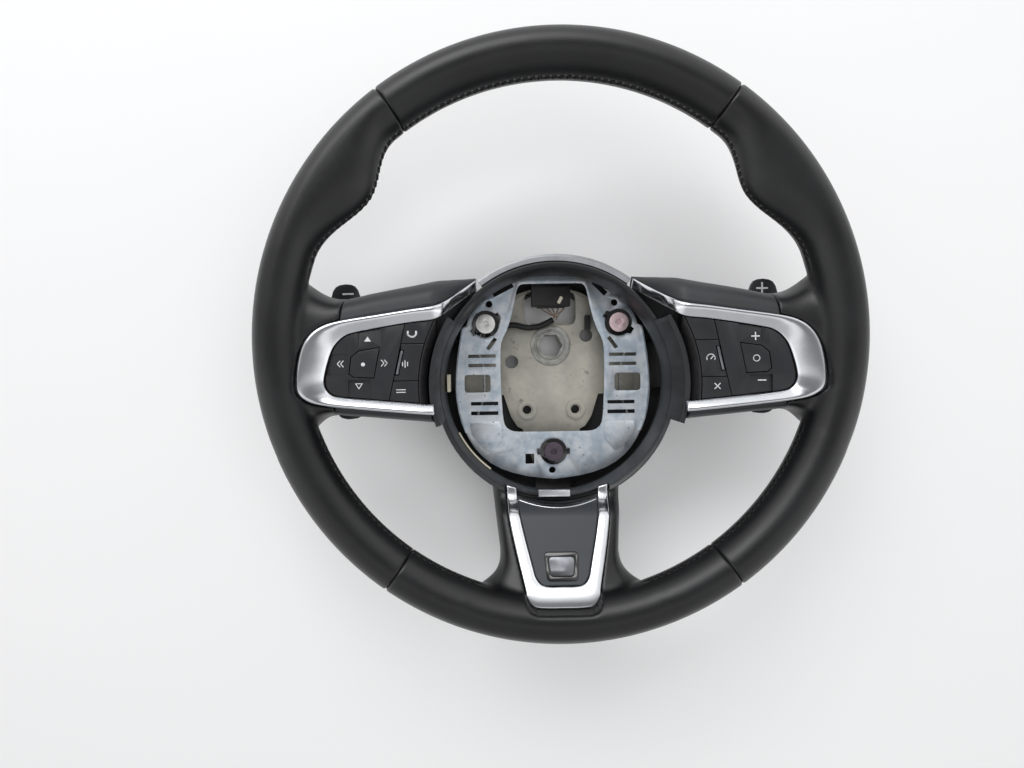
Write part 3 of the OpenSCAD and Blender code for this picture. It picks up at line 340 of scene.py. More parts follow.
def relaxed(piece: bpy.types.Object, verts: Array, weight: Array, rounds: int) -> Array:
    """Vertices drawn towards the middle of their neighbours, by a weight for each.

    Args:
        piece: The mesh object whose edges are used.
        verts: Vertices in millimetres.
        weight: Share of the way that each vertex moves in a round.
        rounds: Number of rounds.

    Returns:
        The moved vertices.
    """
    edges = np.empty(len(piece.data.edges) * 2, np.int32)
    piece.data.edges.foreach_get("vertices", edges)
    a, b = edges.reshape(-1, 2).T
    count = np.bincount(np.concatenate([a, b]), minlength=len(verts)).clip(1)[:, None]
    for _ in range(rounds):
        total = np.stack([np.bincount(a, verts[b, k], len(verts)) + np.bincount(b, verts[a, k], len(verts))
                          for k in range(3)], axis=1)
        verts = verts + weight[:, None] * (total / count - verts)
    return verts


def shade(piece: bpy.types.Object, smooth: bool) -> None:
    """Shades every face of a piece smoothly or flat."""
    piece.data.polygons.foreach_set("use_smooth", np.full(len(piece.data.polygons), smooth))
    piece.data.update()


def mirrored_x(part: tuple[Array, list], side: Side) -> tuple[Array, list]:
    """Part as given for the right side, or its mirror image with its faces turned back."""
    verts, faces = part
    if side is Side.RIGHT:
        return verts, faces
    return verts * np.array([-1.0, 1.0, 1.0]), [np.asarray(b)[:, ::-1] for b in faces]


# Shader helpers


class Sock:
    """A value in a material's graph, which can be used in arithmetic."""

    def __init__(self, graph: "Graph", socket: bpy.types.NodeSocket) -> None:
        """Keeps the graph and the output socket."""
        self.graph = graph
        self.socket = socket

    def _math(self, kind: str, a: object, b: object) -> "Sock":
        """Adds a Math node of one kind on two values."""
        return self.graph.node("ShaderNodeMath", {"operation": kind}, {0: a, 1: b})

    def __add__(self, other: object) -> "Sock":
        """Sum."""
        return self._math("ADD", self, other)

    def __radd__(self, other: object) -> "Sock":
        """Sum, reflected."""
        return self._math("ADD", other, self)

    def __sub__(self, other: object) -> "Sock":
        """Difference."""
        return self._math("SUBTRACT", self, other)

    def __rsub__(self, other: object) -> "Sock":
        """Difference, reflected."""
        return self._math("SUBTRACT", other, self)

    def __mul__(self, other: object) -> "Sock":
        """Product."""
        return self._math("MULTIPLY", self, other)

    def __rmul__(self, other: object) -> "Sock":
        """Product, reflected."""
        return self._math("MULTIPLY", other, self)

    def __truediv__(self, other: object) -> "Sock":
        """Quotient."""
        return self._math("DIVIDE", self, other)

    def __pow__(self, other: object) -> "Sock":
        """Power."""
        return self._math("POWER", self, other)

    def larger(self, other: object) -> "Sock":
        """The larger of two values."""
        return self._math("MAXIMUM", self, other)

    def ramp(self, low: float, high: float) -> "Sock":
        """Value from 0 to 1 with flat ends, as this value goes from low to high."""
        return self.graph.node("ShaderNodeMapRange", {"interpolation_type": "SMOOTHSTEP", "clamp": True},
                               {"Value": self, "From Min": low, "From Max": high})


class Graph:
    """The node graph of one material or of the world."""

    def __init__(self, owner: bpy.types.ID) -> None:
        """Empties the owner's node tree and keeps it."""
        owner.use_nodes = True
        self.tree = owner.node_tree
        self.tree.nodes.clear()

    def node(self, kind: str, settings: dict | None = None, inputs: dict | None = None,
             out: int | str = 0) -> Sock:
        """Adds a node.

        Args:
            kind: Type name of the node.
            settings: Properties, set first.
            inputs: Values or links of its sockets, by name or index.
            out: Output that the result stands for.

        Returns:
            The output as a value.
        """
        made = self.tree.nodes.new(kind)
        for key, value in (settings or {}).items():
            setattr(made, key, value)
        for key, value in (inputs or {}).items():
            socket = made.inputs[key]
            if isinstance(value, Sock):
                self.tree.links.new(value.socket, socket)
            elif isinstance(value, tuple) and len(value) == 3 and socket.type == "RGBA":
                socket.default_value = (*value, 1.0)
            else:
                socket.default_value = value
        return Sock(self, made.outputs[out])

    def place(self) -> Sock:
        """Object coordinates, in metres."""
        return self.node("ShaderNodeTexCoord", out="Object")

    def part(self, vector: Sock, axis: str) -> Sock:
        """One coordinate of a vector."""
        return self.node("ShaderNodeSeparateXYZ", None, {0: vector}, axis)

    def noise(self, where: Sock, scale: float, detail: float = 3.0, rough: float = 0.5) -> Sock:
        """Cloudy pattern from 0 to 1."""
        return self.node("ShaderNodeTexNoise", None,
                         {"Vector": where, "Scale": scale, "Detail": detail, "Roughness": rough})

    def cells(self, where: Sock, scale: float, feature: str = "F1") -> Sock:
        """Distance to the nearest of scattered points, or to the border between two cells."""
        return self.node("ShaderNodeTexVoronoi", {"feature": feature}, {"Vector": where, "Scale": scale})

    def blend(self, factor: object, a: object, b: object) -> Sock:
        """Colour between two colours, through the Mix node's colour sockets 6 and 7 and its output 2."""
        return self.node("ShaderNodeMix", {"data_type": "RGBA"}, {0: factor, 6: a, 7: b}, 2)

    def bump(self, height: Sock, strength: float, distance: float) -> Sock:
        """Normal tilted by a height, with the depth in metres."""
        return self.node("ShaderNodeBump", None,
                         {"Height": height, "Strength": strength, "Distance": distance})

    def surface(self, **sockets: object) -> None:
        """Adds the surface shader and the output, with sockets by name, underscores for spaces."""
        shader = self.node("ShaderNodeBsdfPrincipled", None,
                           {key.replace("_", " "): value for key, value in sockets.items()})
        self.node_output("ShaderNodeOutputMaterial", shader)

    def node_output(self, kind: str, shader: Sock) -> None:
        """Adds the output node and links the shader to it."""
        end = self.tree.nodes.new(kind)
        self.tree.links.new(shader.socket, end.inputs["Surface"])


def new_graph(name: str) -> tuple[bpy.types.Material, Graph]:
    """A new material and its empty graph."""
    material = bpy.data.materials.new(name)
    return material, Graph(material)


def linear(red: int, green: int, blue: int) -> tuple[float, float, float]:
    """Linear colour of a display colour given from 0 to 255."""
    share = np.array([red, green, blue]) / 255
    value = np.where(share <= 0.04045, share / 12.92, ((share + 0.055) / 1.055) ** 2.4)
    return tuple(float(v) for v in value)


@dataclass(frozen=True)
class Leather:
    """Smooth black leather with a fine pebble, polished where hands hold it."""

    name: str
    colour: tuple[float, float, float]
    rough: float = 0.44

    def build(self) -> bpy.types.Material:
        """Builds the material."""
        material, g = new_graph(self.name)
        p = g.place()
        cloud = g.noise(p, 26.0, 3.0)
        pebble = g.cells(p, 1150.0, "DISTANCE_TO_EDGE")
        pores = g.noise(p, 2600.0, 2.0)
        creases = g.noise(p, 240.0, 4.0, 0.6)
        height = pebble.ramp(0.0, 0.28) * 0.6 + pores * 0.25 + creases * 0.5
        dark = tuple(c * 0.82 for c in self.colour)
        light = tuple(c * 1.35 + 0.001 for c in self.colour)
        rough = self.rough + (cloud - 0.5) * 0.16 + (pores - 0.5) * 0.06
        g.surface(Base_Color=g.blend(cloud.ramp(0.35, 0.7), dark, light), Roughness=rough,
                  Normal=g.bump(height, 0.28, 0.00012), Specular_IOR_Level=0.5)
        return material


@dataclass(frozen=True)
class Moulded:
    """Moulded plastic or painted skin with an etched grain and faint dust."""

    name: str
    colour: tuple[float, float, float]
    rough: float = 0.55
    grain: float = 1500.0
    depth: float = 0.00006
    dust: float = 0.12
    coat: float = 0.0

    def build(self) -> bpy.types.Material:
        """Builds the material."""
        material, g = new_graph(self.name)
        p = g.place()
        etch = g.noise(p, self.grain, 2.0, 0.6)
        cloud = g.noise(p, 40.0, 4.0)
        specks = g.cells(p, 320.0).ramp(0.14, 0.02)
        pale = tuple(c * (1 + 2.2 * self.dust) + 0.03 * self.dust for c in self.colour)
        tone = g.blend(cloud.ramp(0.42, 0.75) * (0.7 + specks * 0.3), self.colour, pale)
        rough = self.rough + (cloud - 0.5) * 0.14
        g.surface(Base_Color=tone, Roughness=rough, Normal=g.bump(etch, 0.4, self.depth),
                  Coat_Weight=self.coat, Coat_Roughness=0.12)
        return material


@dataclass(frozen=True)
class Metal:
    """Bright or dull metal with cloudy tarnish, fine scratches and small spots."""

    name: str
    colour: tuple[float, float, float]
    dull: tuple[float, float, float]
    rough: float = 0.2
    spread: float = 0.08
    cloud: float = 60.0
    spots: float = 0.0
    metallic: float = 1.0
    bump: float = 0.00002

    def build(self) -> bpy.types.Material:
        """Builds the material."""
        material, g = new_graph(self.name)
        p = g.place()
        cloud = g.noise(p, self.cloud, 6.0, 0.62)
        fine = g.noise(p, 900.0, 3.0, 0.6)
        stretch = g.node("ShaderNodeMapping", None, {"Vector": p, "Scale": (260.0, 1900.0, 260.0)})
        scratch = g.noise(stretch, 1.0, 2.0).ramp(0.62, 0.72)
        spot = g.cells(p, 210.0).ramp(0.2, 0.05) * g.noise(p, 30.0, 2.0).ramp(0.5, 0.62) * self.spots
        wash = cloud.ramp(0.36, 0.68)
        tone = g.blend(wash, self.colour, self.dull)
        tone = g.blend(spot, tone, tuple(c * 0.35 for c in self.dull))
        rough = self.rough + (cloud - 0.5) * 2 * self.spread + scratch * 0.04 + spot * 0.3
        g.surface(Base_Color=tone, Metallic=self.metallic, Roughness=rough,
                  Normal=g.bump(fine + scratch * 0.3, 0.5, self.bump))
        return material


@dataclass(frozen=True)
class PinHeads:
    """Plated pin heads: the left one clean, the right one pinkish and the lower one dark."""

    name: str
    left: tuple[float, float, float]
    right: tuple[float, float, float]
    lower: tuple[float, float, float]

    def build(self) -> bpy.types.Material:
        """Builds the material."""
        material, g = new_graph(self.name)
        p = g.place()
        tone = g.blend(g.part(p, "X").ramp(0.015, 0.03), self.left, self.right)
        tone = g.blend(g.part(p, "Y").ramp(-0.03, -0.05), tone, self.lower)
        mottle = g.noise(p, 300.0, 4.0, 0.6)
        worn = g.blend(mottle.ramp(0.5, 0.75) * 0.5, tone, linear(96, 92, 94))
        g.surface(Base_Color=worn, Metallic=0.55, Roughness=0.3 + mottle * 0.2,
                  Normal=g.bump(mottle, 0.4, 0.00004))
        return material


@dataclass(frozen=True)
class CastMetal:
    """Cast magnesium, matt and pale, stained and dirty, with painted shade on its spokes: they turn near
    black where they lie in shade between horn plate and shroud.
    """

    name: str
    colour: tuple[float, float, float]
    stain: tuple[float, float, float]
    grime: tuple[float, float, float]
    # skin is the near-black colour of painted shade on the spokes. The two ranges below it say where that
    # shade lies, in metres: below y -0.086 to -0.090, and beyond x*x 0.0044 to 0.0048.
    skin: tuple[float, float, float] = (0.012, 0.012, 0.013)
    skinned_from: tuple[float, float] = (-0.086, -0.090)
    skinned_past: tuple[float, float] = (0.0044, 0.0048)

    def build(self) -> bpy.types.Material:
        """Builds the material."""
        material, g = new_graph(self.name)
        p = g.place()
        broad = g.noise(p, 34.0, 5.0, 0.6)
        mid = g.noise(p, 130.0, 5.0, 0.65)
        sand = g.noise(p, 1700.0, 3.0, 0.6)
        pits = g.cells(p, 420.0).ramp(0.16, 0.04) * g.noise(p, 90.0, 2.0).ramp(0.45, 0.6)
        tone = g.blend(broad.ramp(0.38, 0.7), self.colour, self.stain)
        tone = g.blend((mid.ramp(0.56, 0.74) * 0.55 + pits * 0.6).ramp(0.0, 1.0), tone, self.grime)
        # Painted shade: the spokes are darkened to near black and made less metallic where they lie in shade
        # between horn plate and shroud.
        across = g.part(p, "X")
        shaded = g.part(p, "Y").ramp(*self.skinned_from).larger((across * across).ramp(*self.skinned_past))
        tone = g.blend(shaded, tone, self.skin)
        g.surface(Base_Color=tone, Metallic=(1 - shaded) * 0.35, Roughness=0.55 + (mid - 0.5) * 0.25,
                  Normal=g.bump(sand * 0.7 + mid * 0.6 - pits * 0.8, 0.55, 0.00016))
        return material


@dataclass(frozen=True)
class Thread:
    """Twisted sewing thread, whose ply runs along each stitch."""

    name: str
    colour: tuple[float, float, float]

    def build(self) -> bpy.types.Material:
        """Builds the material."""
        material, g = new_graph(self.name)
        p = g.place()
        ply = g.noise(p, 3200.0, 2.0)
        light = tuple(c * 1.8 for c in self.colour)
        g.surface(Base_Color=g.blend(ply, self.colour, light), Roughness=0.6 + ply * 0.2,
                  Normal=g.bump(ply, 0.6, 0.0001))
        return material


@dataclass(frozen=True)
class Print:
    """White ink of the marks on the keys, a little uneven."""

    name: str
    colour: tuple[float, float, float]

    def build(self) -> bpy.types.Material:
        """Builds the material."""
        material, g = new_graph(self.name)
        wear = g.noise(g.place(), 900.0, 3.0)
        worn = tuple(c * 0.72 for c in self.colour)
        g.surface(Base_Color=g.blend(wear.ramp(0.4, 0.75), self.colour, worn), Roughness=0.5 + wear * 0.1)
        return material


class Finish(Enum):
    """Every finish on the wheel."""

    LEATHER = Leather("rim_leather", linear(12, 13, 15), 0.36)
    SKIN = Moulded("spoke_skin", linear(43, 45, 48), 0.52, 1300.0, 0.00012, 0.08)
    PANEL = Moulded("panel_skin", linear(50, 54, 59), 0.48, 1250.0, 0.00014, 0.08)
    SHROUD = Moulded("shroud_plastic", linear(29, 31, 34), 0.40, 1700.0, 0.00006, 0.12)
    REAR = Moulded("rear_plastic", linear(34, 35, 37), 0.5, 1400.0, 0.00008, 0.2)
    KEYS = Moulded("key_plastic", linear(29, 30, 34), 0.40, 2200.0, 0.00004, 0.06)
    SATIN = Metal("brushed_silver", linear(188, 190, 194), linear(168, 171, 176), 0.34, 0.05, 60.0)
    BADGE = Metal("badge_silver", linear(120, 122, 126), linear(98, 100, 104), 0.3, 0.05, 60.0)
    GLOSS = Moulded("gloss_black", linear(14, 14, 16), 0.16, 2600.0, 0.00001, 0.25, 0.6)
    BLACK = Moulded("black_plastic", linear(22, 22, 24), 0.42, 1800.0, 0.00005, 0.2)
    PADDLE = Moulded("paddle_plastic", linear(31, 33, 36), 0.40, 1800.0, 0.00005, 0.10)
    CHROME = Metal("satin_chrome", linear(222, 224, 228), linear(210, 213, 218), 0.17, 0.03, 30.0)
    ZINC = Metal("zinc_steel", linear(216, 221, 227), linear(178, 191, 204), 0.46, 0.12, 95.0, 0.8, 0.85)
    CAST = CastMetal("cast_magnesium", linear(158, 156, 148), linear(183, 179, 168), linear(84, 80, 71))
    INSERT = Metal("steel_insert", linear(168, 168, 164), linear(132, 131, 127), 0.42, 0.12, 150.0, 0.5, 0.7)
    PINS = Metal("pin_steel", linear(214, 214, 216), linear(188, 186, 190), 0.3, 0.08, 160.0, 0.2)
    HEADS = PinHeads("pin_heads", linear(232, 232, 230), linear(222, 198, 202), linear(84, 74, 86))
    WIRE = Metal("spring_wire", linear(190, 192, 194), linear(160, 163, 168), 0.28, 0.08, 200.0, 0.2)
    CREAM = Moulded("cream_plastic", linear(214, 208, 188), 0.5, 1500.0, 0.00004, 0.05)
    BOARD = Moulded("circuit_board", linear(30, 74, 48), 0.4, 900.0, 0.00003, 0.1)
    LEAD = Moulded("lead_insulation", linear(120, 104, 92), 0.5, 2000.0, 0.00003, 0.1)
    TAPE = Moulded("loom_tape", linear(24, 24, 25), 0.62, 1300.0, 0.00016, 0.2)
    THREAD = Thread("sewing_thread", linear(20, 20, 21))
    INK = Print("white_marks", linear(222, 224, 226))
    BAR = Metal("marker_bar", linear(150, 153, 158), linear(120, 123, 128), 0.3, 0.06, 120.0)
    FOAM = Moulded("rim_foam", linear(40, 40, 40), 0.8, 700.0, 0.0002, 0.1)


class Paint:
    """Makes each finish's material once, when a piece first needs it."""

    made: dict = {}

    @classmethod
    def on(cls, piece: bpy.types.Object, finish: Finish) -> None:
        """Gives a piece one finish, in place of any that it has."""
        if finish not in cls.made:
            cls.made[finish] = finish.value.build()
        piece.data.materials.clear()
        piece.data.materials.append(cls.made[finish])


def dress(piece: bpy.types.Object, finish: Finish, body: str, slot: str, *nodes: str) -> bpy.types.Object:
    """Finishes a new piece: material, body and the nodes that it stands for.

    Args:
        piece: The piece.
        finish: Its finish.
        body: The body that it moves with.
        slot: The record's material slot; not used.
        nodes: Nodes that it replaces.

    Returns:
        The piece.
    """
    Paint.on(piece, finish)
    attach(piece, body)
    if nodes:
        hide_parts(*nodes)
    LOG.info("%s: %d faces, %s", piece.name, len(piece.data.polygons), finish.name.lower())
    return piece


def clean_copy(node: str, name: str, bevel: float) -> bpy.types.Object:
    """A node's own solid with its edges broken by a small bevel.

    Args:
        node: The node that is copied.
        name: Name of the new piece.
        bevel: Width of the bevel in millimetres, 0 for none.

    Returns:
        The new piece, whose vertices are merged first.
    """
    mesh = frame["nodes"][node].data.copy()
    mesh.name = name
    work = bmesh.new()
    work.from_mesh(mesh)
    bmesh.ops.remove_doubles(work, verts=work.verts, dist=MERGE_GAP_M)
    bmesh.ops.dissolve_limit(work, angle_limit=math.radians(FLAT_DEG), verts=work.verts, edges=work.edges)
    work.to_mesh(mesh)
    work.free()
    piece = bpy.data.objects.new(name, mesh)
    bpy.context.scene.collection.objects.link(piece)
    shade(piece, True)
    if bevel:
        mod = piece.modifiers.new("edge", "BEVEL")
        mod.width = bevel * MM
        mod.segments = BEVEL_FACES
        mod.limit_method = "ANGLE"
        mod.angle_limit = math.radians(BEVEL_DEG)
        mod.use_clamp_overlap = True
        mod.harden_normals = True
        evaluated(piece)
    else:
        piece.data.set_sharp_from_angle(angle=math.radians(SHARP_DEG))
    return piece


# The rim


@dataclass
class Rim:
    """Leather rim: section, thumb rests, cross seams and the sewn line inside."""

    centre_r: float = 173.3
    half_w: float = 14.2
    half_d: float = 16.1
    thumb: float = 14.3
    thumb_angle: float = 37.0
    thumb_near: float = 18.0
    thumb_far: float = 14.5
    seam_top: float = 54.0
    seam_low: float = -54.0
    gap: float = 0.05
    roll: float = 1.6
    groove: float = 0.75
    groove_w: float = 1.1
    end_draw: float = 1.5
    end_steep: float = 0.96
    voxel: float = 1.0
    pitch: float = 4.4
    stitch_reach: float = 1.9
    stitch_along: float = 1.35
    stitch_uneven: tuple[float, float] = (0.15, 0.12)
    stitch_lift: float = 0.25
    stitch_cross: float = 0.12
    stitch_r: float = 0.42
    stitch_rings: int = 7
    stitch_sides: int = 6

    def rest(self, angle: Array) -> Array:
        """How far the thumb rest stands in at a wheel angle: half a cosine wave on each side."""
        b = np.where(np.abs(angle) > 90, 180 - np.abs(angle), np.abs(angle))
        x = b - self.thumb_angle
        half = np.where(x > 0, self.thumb_far, self.thumb_near)
        wave = np.where(np.abs(x) < half, (1 + np.cos(np.pi * x / half)) / 2, 0)
        return np.where(angle < 0, 0, self.thumb * wave)

    def section(self, angle: Array, turn: Array, draw: Array) -> Array:
        """Points of the rim's surface.

        Args:
            angle: Wheel angle in degrees, counted from three o'clock.
            turn: Angle round the section in degrees, 0 outside, 90 in front, 180 inside.
            draw: How far the point is drawn in towards the section's middle.

        Returns:
            Points of an ellipse round the rim's circle, stretched inwards at the thumb rests.
        """
        c, s = np.cos(np.radians(turn)), np.sin(np.radians(turn))
        u = (self.half_w - draw) * c + np.where(c < 0, self.rest(angle) * c, 0)
        r = self.centre_r + u
        a = np.radians(angle)
        return np.stack([r * np.cos(a), r * np.sin(a), RIM_Z + (self.half_d - draw) * s], axis=-1)

    def drawn(self, angle: Array, turn: Array, low: float, high: float) -> Array:
        """How far the leather is drawn in: its rolled ends at the cross seams and the sewn groove."""
        arc = np.minimum(angle - low, high - angle) * math.pi / 180 * self.centre_r
        t = 1 - np.clip(arc / self.roll, 0, 1)
        ends = self.end_draw * (1 - np.sqrt(1 - self.end_steep * t * t))
        off = np.abs((turn % 360) - 180) / 180 * math.pi * self.half_d
        return ends + self.groove * np.exp(-((off / self.groove_w) ** 2))

    def tube(self, low: float, high: float, rows: int, cols: int) -> tuple[Array, list]:
        """Leather between two wheel angles, with finer rows near its two seams."""
        t = np.linspace(-1, 1, rows)
        ease = np.sign(t) * (1 - (1 - np.abs(t)) ** 1.25)
        angle = ((low + high) / 2 + (high - low) / 2 * ease)[:, None]
        turn = np.linspace(0, 360, cols, endpoint=False)[None, :]
        draw = self.drawn(angle, turn, low, high)
        return lofted(self.section(angle, turn, draw))

    def snapped(self, verts: Array, low: float, high: float) -> Array:
        """The same vertices moved on to the rim's exact surface, for those near it."""
        r = np.hypot(verts[:, 0], verts[:, 1])
        angle = np.degrees(np.arctan2(verts[:, 1], verts[:, 0]))
        mid = (low + high) / 2
        angle = (angle - mid + 180) % 360 - 180 + mid
        wheel = (angle + 180) % 360 - 180
        u, v = r - self.centre_r, verts[:, 2] - RIM_Z
        stretch = np.where(u < 0, self.half_w + self.rest(wheel), self.half_w)
        turn = np.degrees(np.arctan2(v / self.half_d, u / stretch))
        return self.section(wheel, turn, self.drawn(angle, turn, low, high))

    def stitches(self, low: float, high: float, seed: int) -> tuple[Array, list]:
        """Row of crossed stitches over the sewn line inside the rim.

        Args:
            low: First wheel angle in degrees.
            high: Last wheel angle in degrees.
            seed: Seed of the small unevenness of hand work.

        Returns:
            Vertices and face blocks: each stitch is a bent capsule that dips at both ends.
        """
        fine = np.linspace(low, high, 400)
        line = self.section(fine, np.full_like(fine, 180.0), np.zeros_like(fine))
        run = np.concatenate([[0], np.cumsum(np.linalg.norm(np.diff(line, axis=0), axis=1))])
        count = int(run[-1] / self.pitch)
        angle = np.interp((np.arange(count) + 0.5) * self.pitch, run, fine)
        rng = np.random.default_rng(seed)
        slope = np.where(np.arange(2 * count) % 2 == 0, 1.0, -1.0)
        angle = np.repeat(angle, 2)
        t = np.linspace(-1, 1, self.stitch_rings)[None, :]
        wide, long = self.stitch_uneven
        reach = self.stitch_reach + rng.uniform(-wide, wide, 2 * count)[:, None]
        along = self.stitch_along + rng.uniform(-long, long, 2 * count)[:, None]
        turn = 180 + np.degrees(reach * t / self.half_d)
        shift = np.degrees(slope[:, None] * along * t / (self.centre_r - self.half_w))
        lift = 2 * self.stitch_lift * (1 - t**4) - self.stitch_lift
        lift = lift + self.stitch_cross * slope[:, None] * (1 - t * t)
        path = self.section(angle[:, None] + shift, turn, -lift)
        step = np.gradient(path, axis=1)
        step /= np.linalg.norm(step, axis=2, keepdims=True)
        out = self.section(angle[:, None] + shift, turn, np.full_like(turn, -1.0)) - path
        side = np.cross(step, out)
        side /= np.linalg.norm(side, axis=2, keepdims=True)
        up = np.cross(side, step)
        sides = self.stitch_sides
        a = np.radians(np.arange(0, 360, 360 // sides))[None, None, :, None]
        thick = (self.stitch_r * np.sqrt(1 - 0.8 * t**6))[..., None, None]
        ring = path[:, :, None] + thick * (np.cos(a) * side[:, :, None] + np.sin(a) * up[:, :, None])
        per = self.stitch_rings * sides
        first = np.arange(len(ring))[:, None, None] * per
        quads = (grid_faces(self.stitch_rings, sides, False, True)[None] + first).reshape(-1, 4)
        cap = np.stack([np.arange(sides)[::-1], per - sides + np.arange(sides)])
        ends = (cap[None] + first).reshape(-1, sides)
        return ring.reshape(-1, 3), [quads, ends]


@dataclass
class Bezel:
    """Bright ring round a switch panel, as rows of outer and inner edge points of the right one."""

    outer: list = field(default_factory=lambda: [
        (54, 43.5, -40), (62, 36.2, -29), (69, 28.2, -12), (77, 23, -2.4), (92, 20.6, -0.6),
        (110, 17.8, 0.6), (136, 13.6, 3), (146.5, 9.9, 4.4), (153.3, 4.2, 5.4), (157.6, -4, 6.3),
        (160.3, -17, 7), (160.8, -28.5, 7), (156.3, -34, 6.4), (146.5, -37.7, 5), (120, -40.9, 3),
        (90, -43.9, 0.8), (78.5, -45, -1.2)])
    inner: list = field(default_factory=lambda: [
        (53.5, 37.2, -43), (62.5, 28.2, -25), (69.5, 20.5, -9.6), (77, 14.7, -3.6), (92, 12.6, -2.6),
        (106, 10.4, -1.8), (124, 7.1, -0.2), (132, 4.7, 0.8), (137.8, -0.4, 1.6), (141.2, -7, 2.2),
        (144.2, -17.5, 2.8), (145, -25, 2.8), (142, -30.6, 2.2), (135, -33, 1.4), (114, -35.2, -0.2),
        (90, -37.6, -2), (79, -38.6, -3.4)])
    hub_side: tuple = ((60, -46), (50, 43.5))
    thick: float = 3.0
    rows: int = 260
    plan_rows: int = 160

    def plan(self) -> Array:
        """Outline of the bezel's outside, closed across the hub side."""
        edge = spline([(x, y) for x, y, _ in self.outer], self.plan_rows)
        return np.vstack([edge, self.hub_side])

    def edges(self) -> tuple[Array, Array]:
        """Outer and inner edge curves, matched point by point through the same parameter."""
        both = np.hstack([np.asarray(self.outer, float), np.asarray(self.inner, float)])
        curve = spline(both.tolist(), self.rows)
        return curve[:, :3], curve[:, 3:]

    def build(self, side: Side) -> bpy.types.Object:
        """Builds the bezel: a crowned strip from inner to outer edge with a rolled outer lip.

        Args:
            side: Which side it stands on.

        Returns:
            The piece, made of sections that hold the same points in share of width and height.
        """
        o, i = self.edges()
        share = np.array([0.0, 0.0, 0.015, 0.05, 0.12, 0.22, 0.34, 0.48, 0.62, 0.75, 0.86, 0.93, 0.97,
                          1.0, 1.01, 1.0])
        rise = np.array([-self.thick, -0.5, -0.15, 0.12, 0.42, 0.8, 1.12, 1.36, 1.46, 1.4, 1.12, 0.72,
                         0.3, -0.3, -1.1, -self.thick])
        rings = i[:, None] + (o - i)[:, None] * share[None, :, None]
        rings[:, :, 2] += rise[None, :] + RIM_Z
        piece = write_mesh(f"bezel_{side.word}_ring", *mirrored_x(lofted(rings), side))
        return dress(piece, Finish.CHROME, "wheel", "satin_chrome", f"bezel_{side.word}")


def table(rows: list, x: Array) -> Array:
    """Straight interpolation in rows of place and value, softened by a short running mean."""
    at = np.asarray(rows, float)
    offsets = np.linspace(-3, 3, 7)
    return np.mean([np.interp(np.asarray(x) + d, at[:, 0], at[:, 1]) for d in offsets], axis=0)


def trough(upper: tuple, lower: tuple, front: Array, back: Array, drop: float, count: int) -> Array:
    """Outlines of a spoke's trough, one for each station, from one front edge round the back.

    Args:
        upper: Place across the spoke of the first side's front edge and of its back.
        lower: The same of the other side.
        front: Height of both front edges.
        back: Height of the back.
        drop: Most that a side falls before it is at its widest.
        count: Number of points in an outline.

    Returns:
        Array of stations, points and two coordinates. Each outline is a smooth curve through
        thirteen points, whose sides swell out from the front edges and turn under at the back.
    """
    (a, b), (c, d) = upper, lower
    s = np.minimum(drop, (front - back) * 0.62)
    across = np.stack([a, a + 0.5 * (b - a), a + 0.84 * (b - a), b, b - 1.6, b - 8, (b + d) / 2, d + 8,
                       d + 1.6, d, c + 0.84 * (d - c), c + 0.5 * (d - c), c], axis=1)
    half = [front, front - 0.1 * s, front - 0.42 * s, front - s, back + 5, back]
    height = np.stack([*half, back - 0.4, *half[::-1]], axis=1)
    return np.stack([spline(row.tolist(), count) for row in np.stack([across, height], axis=2)])


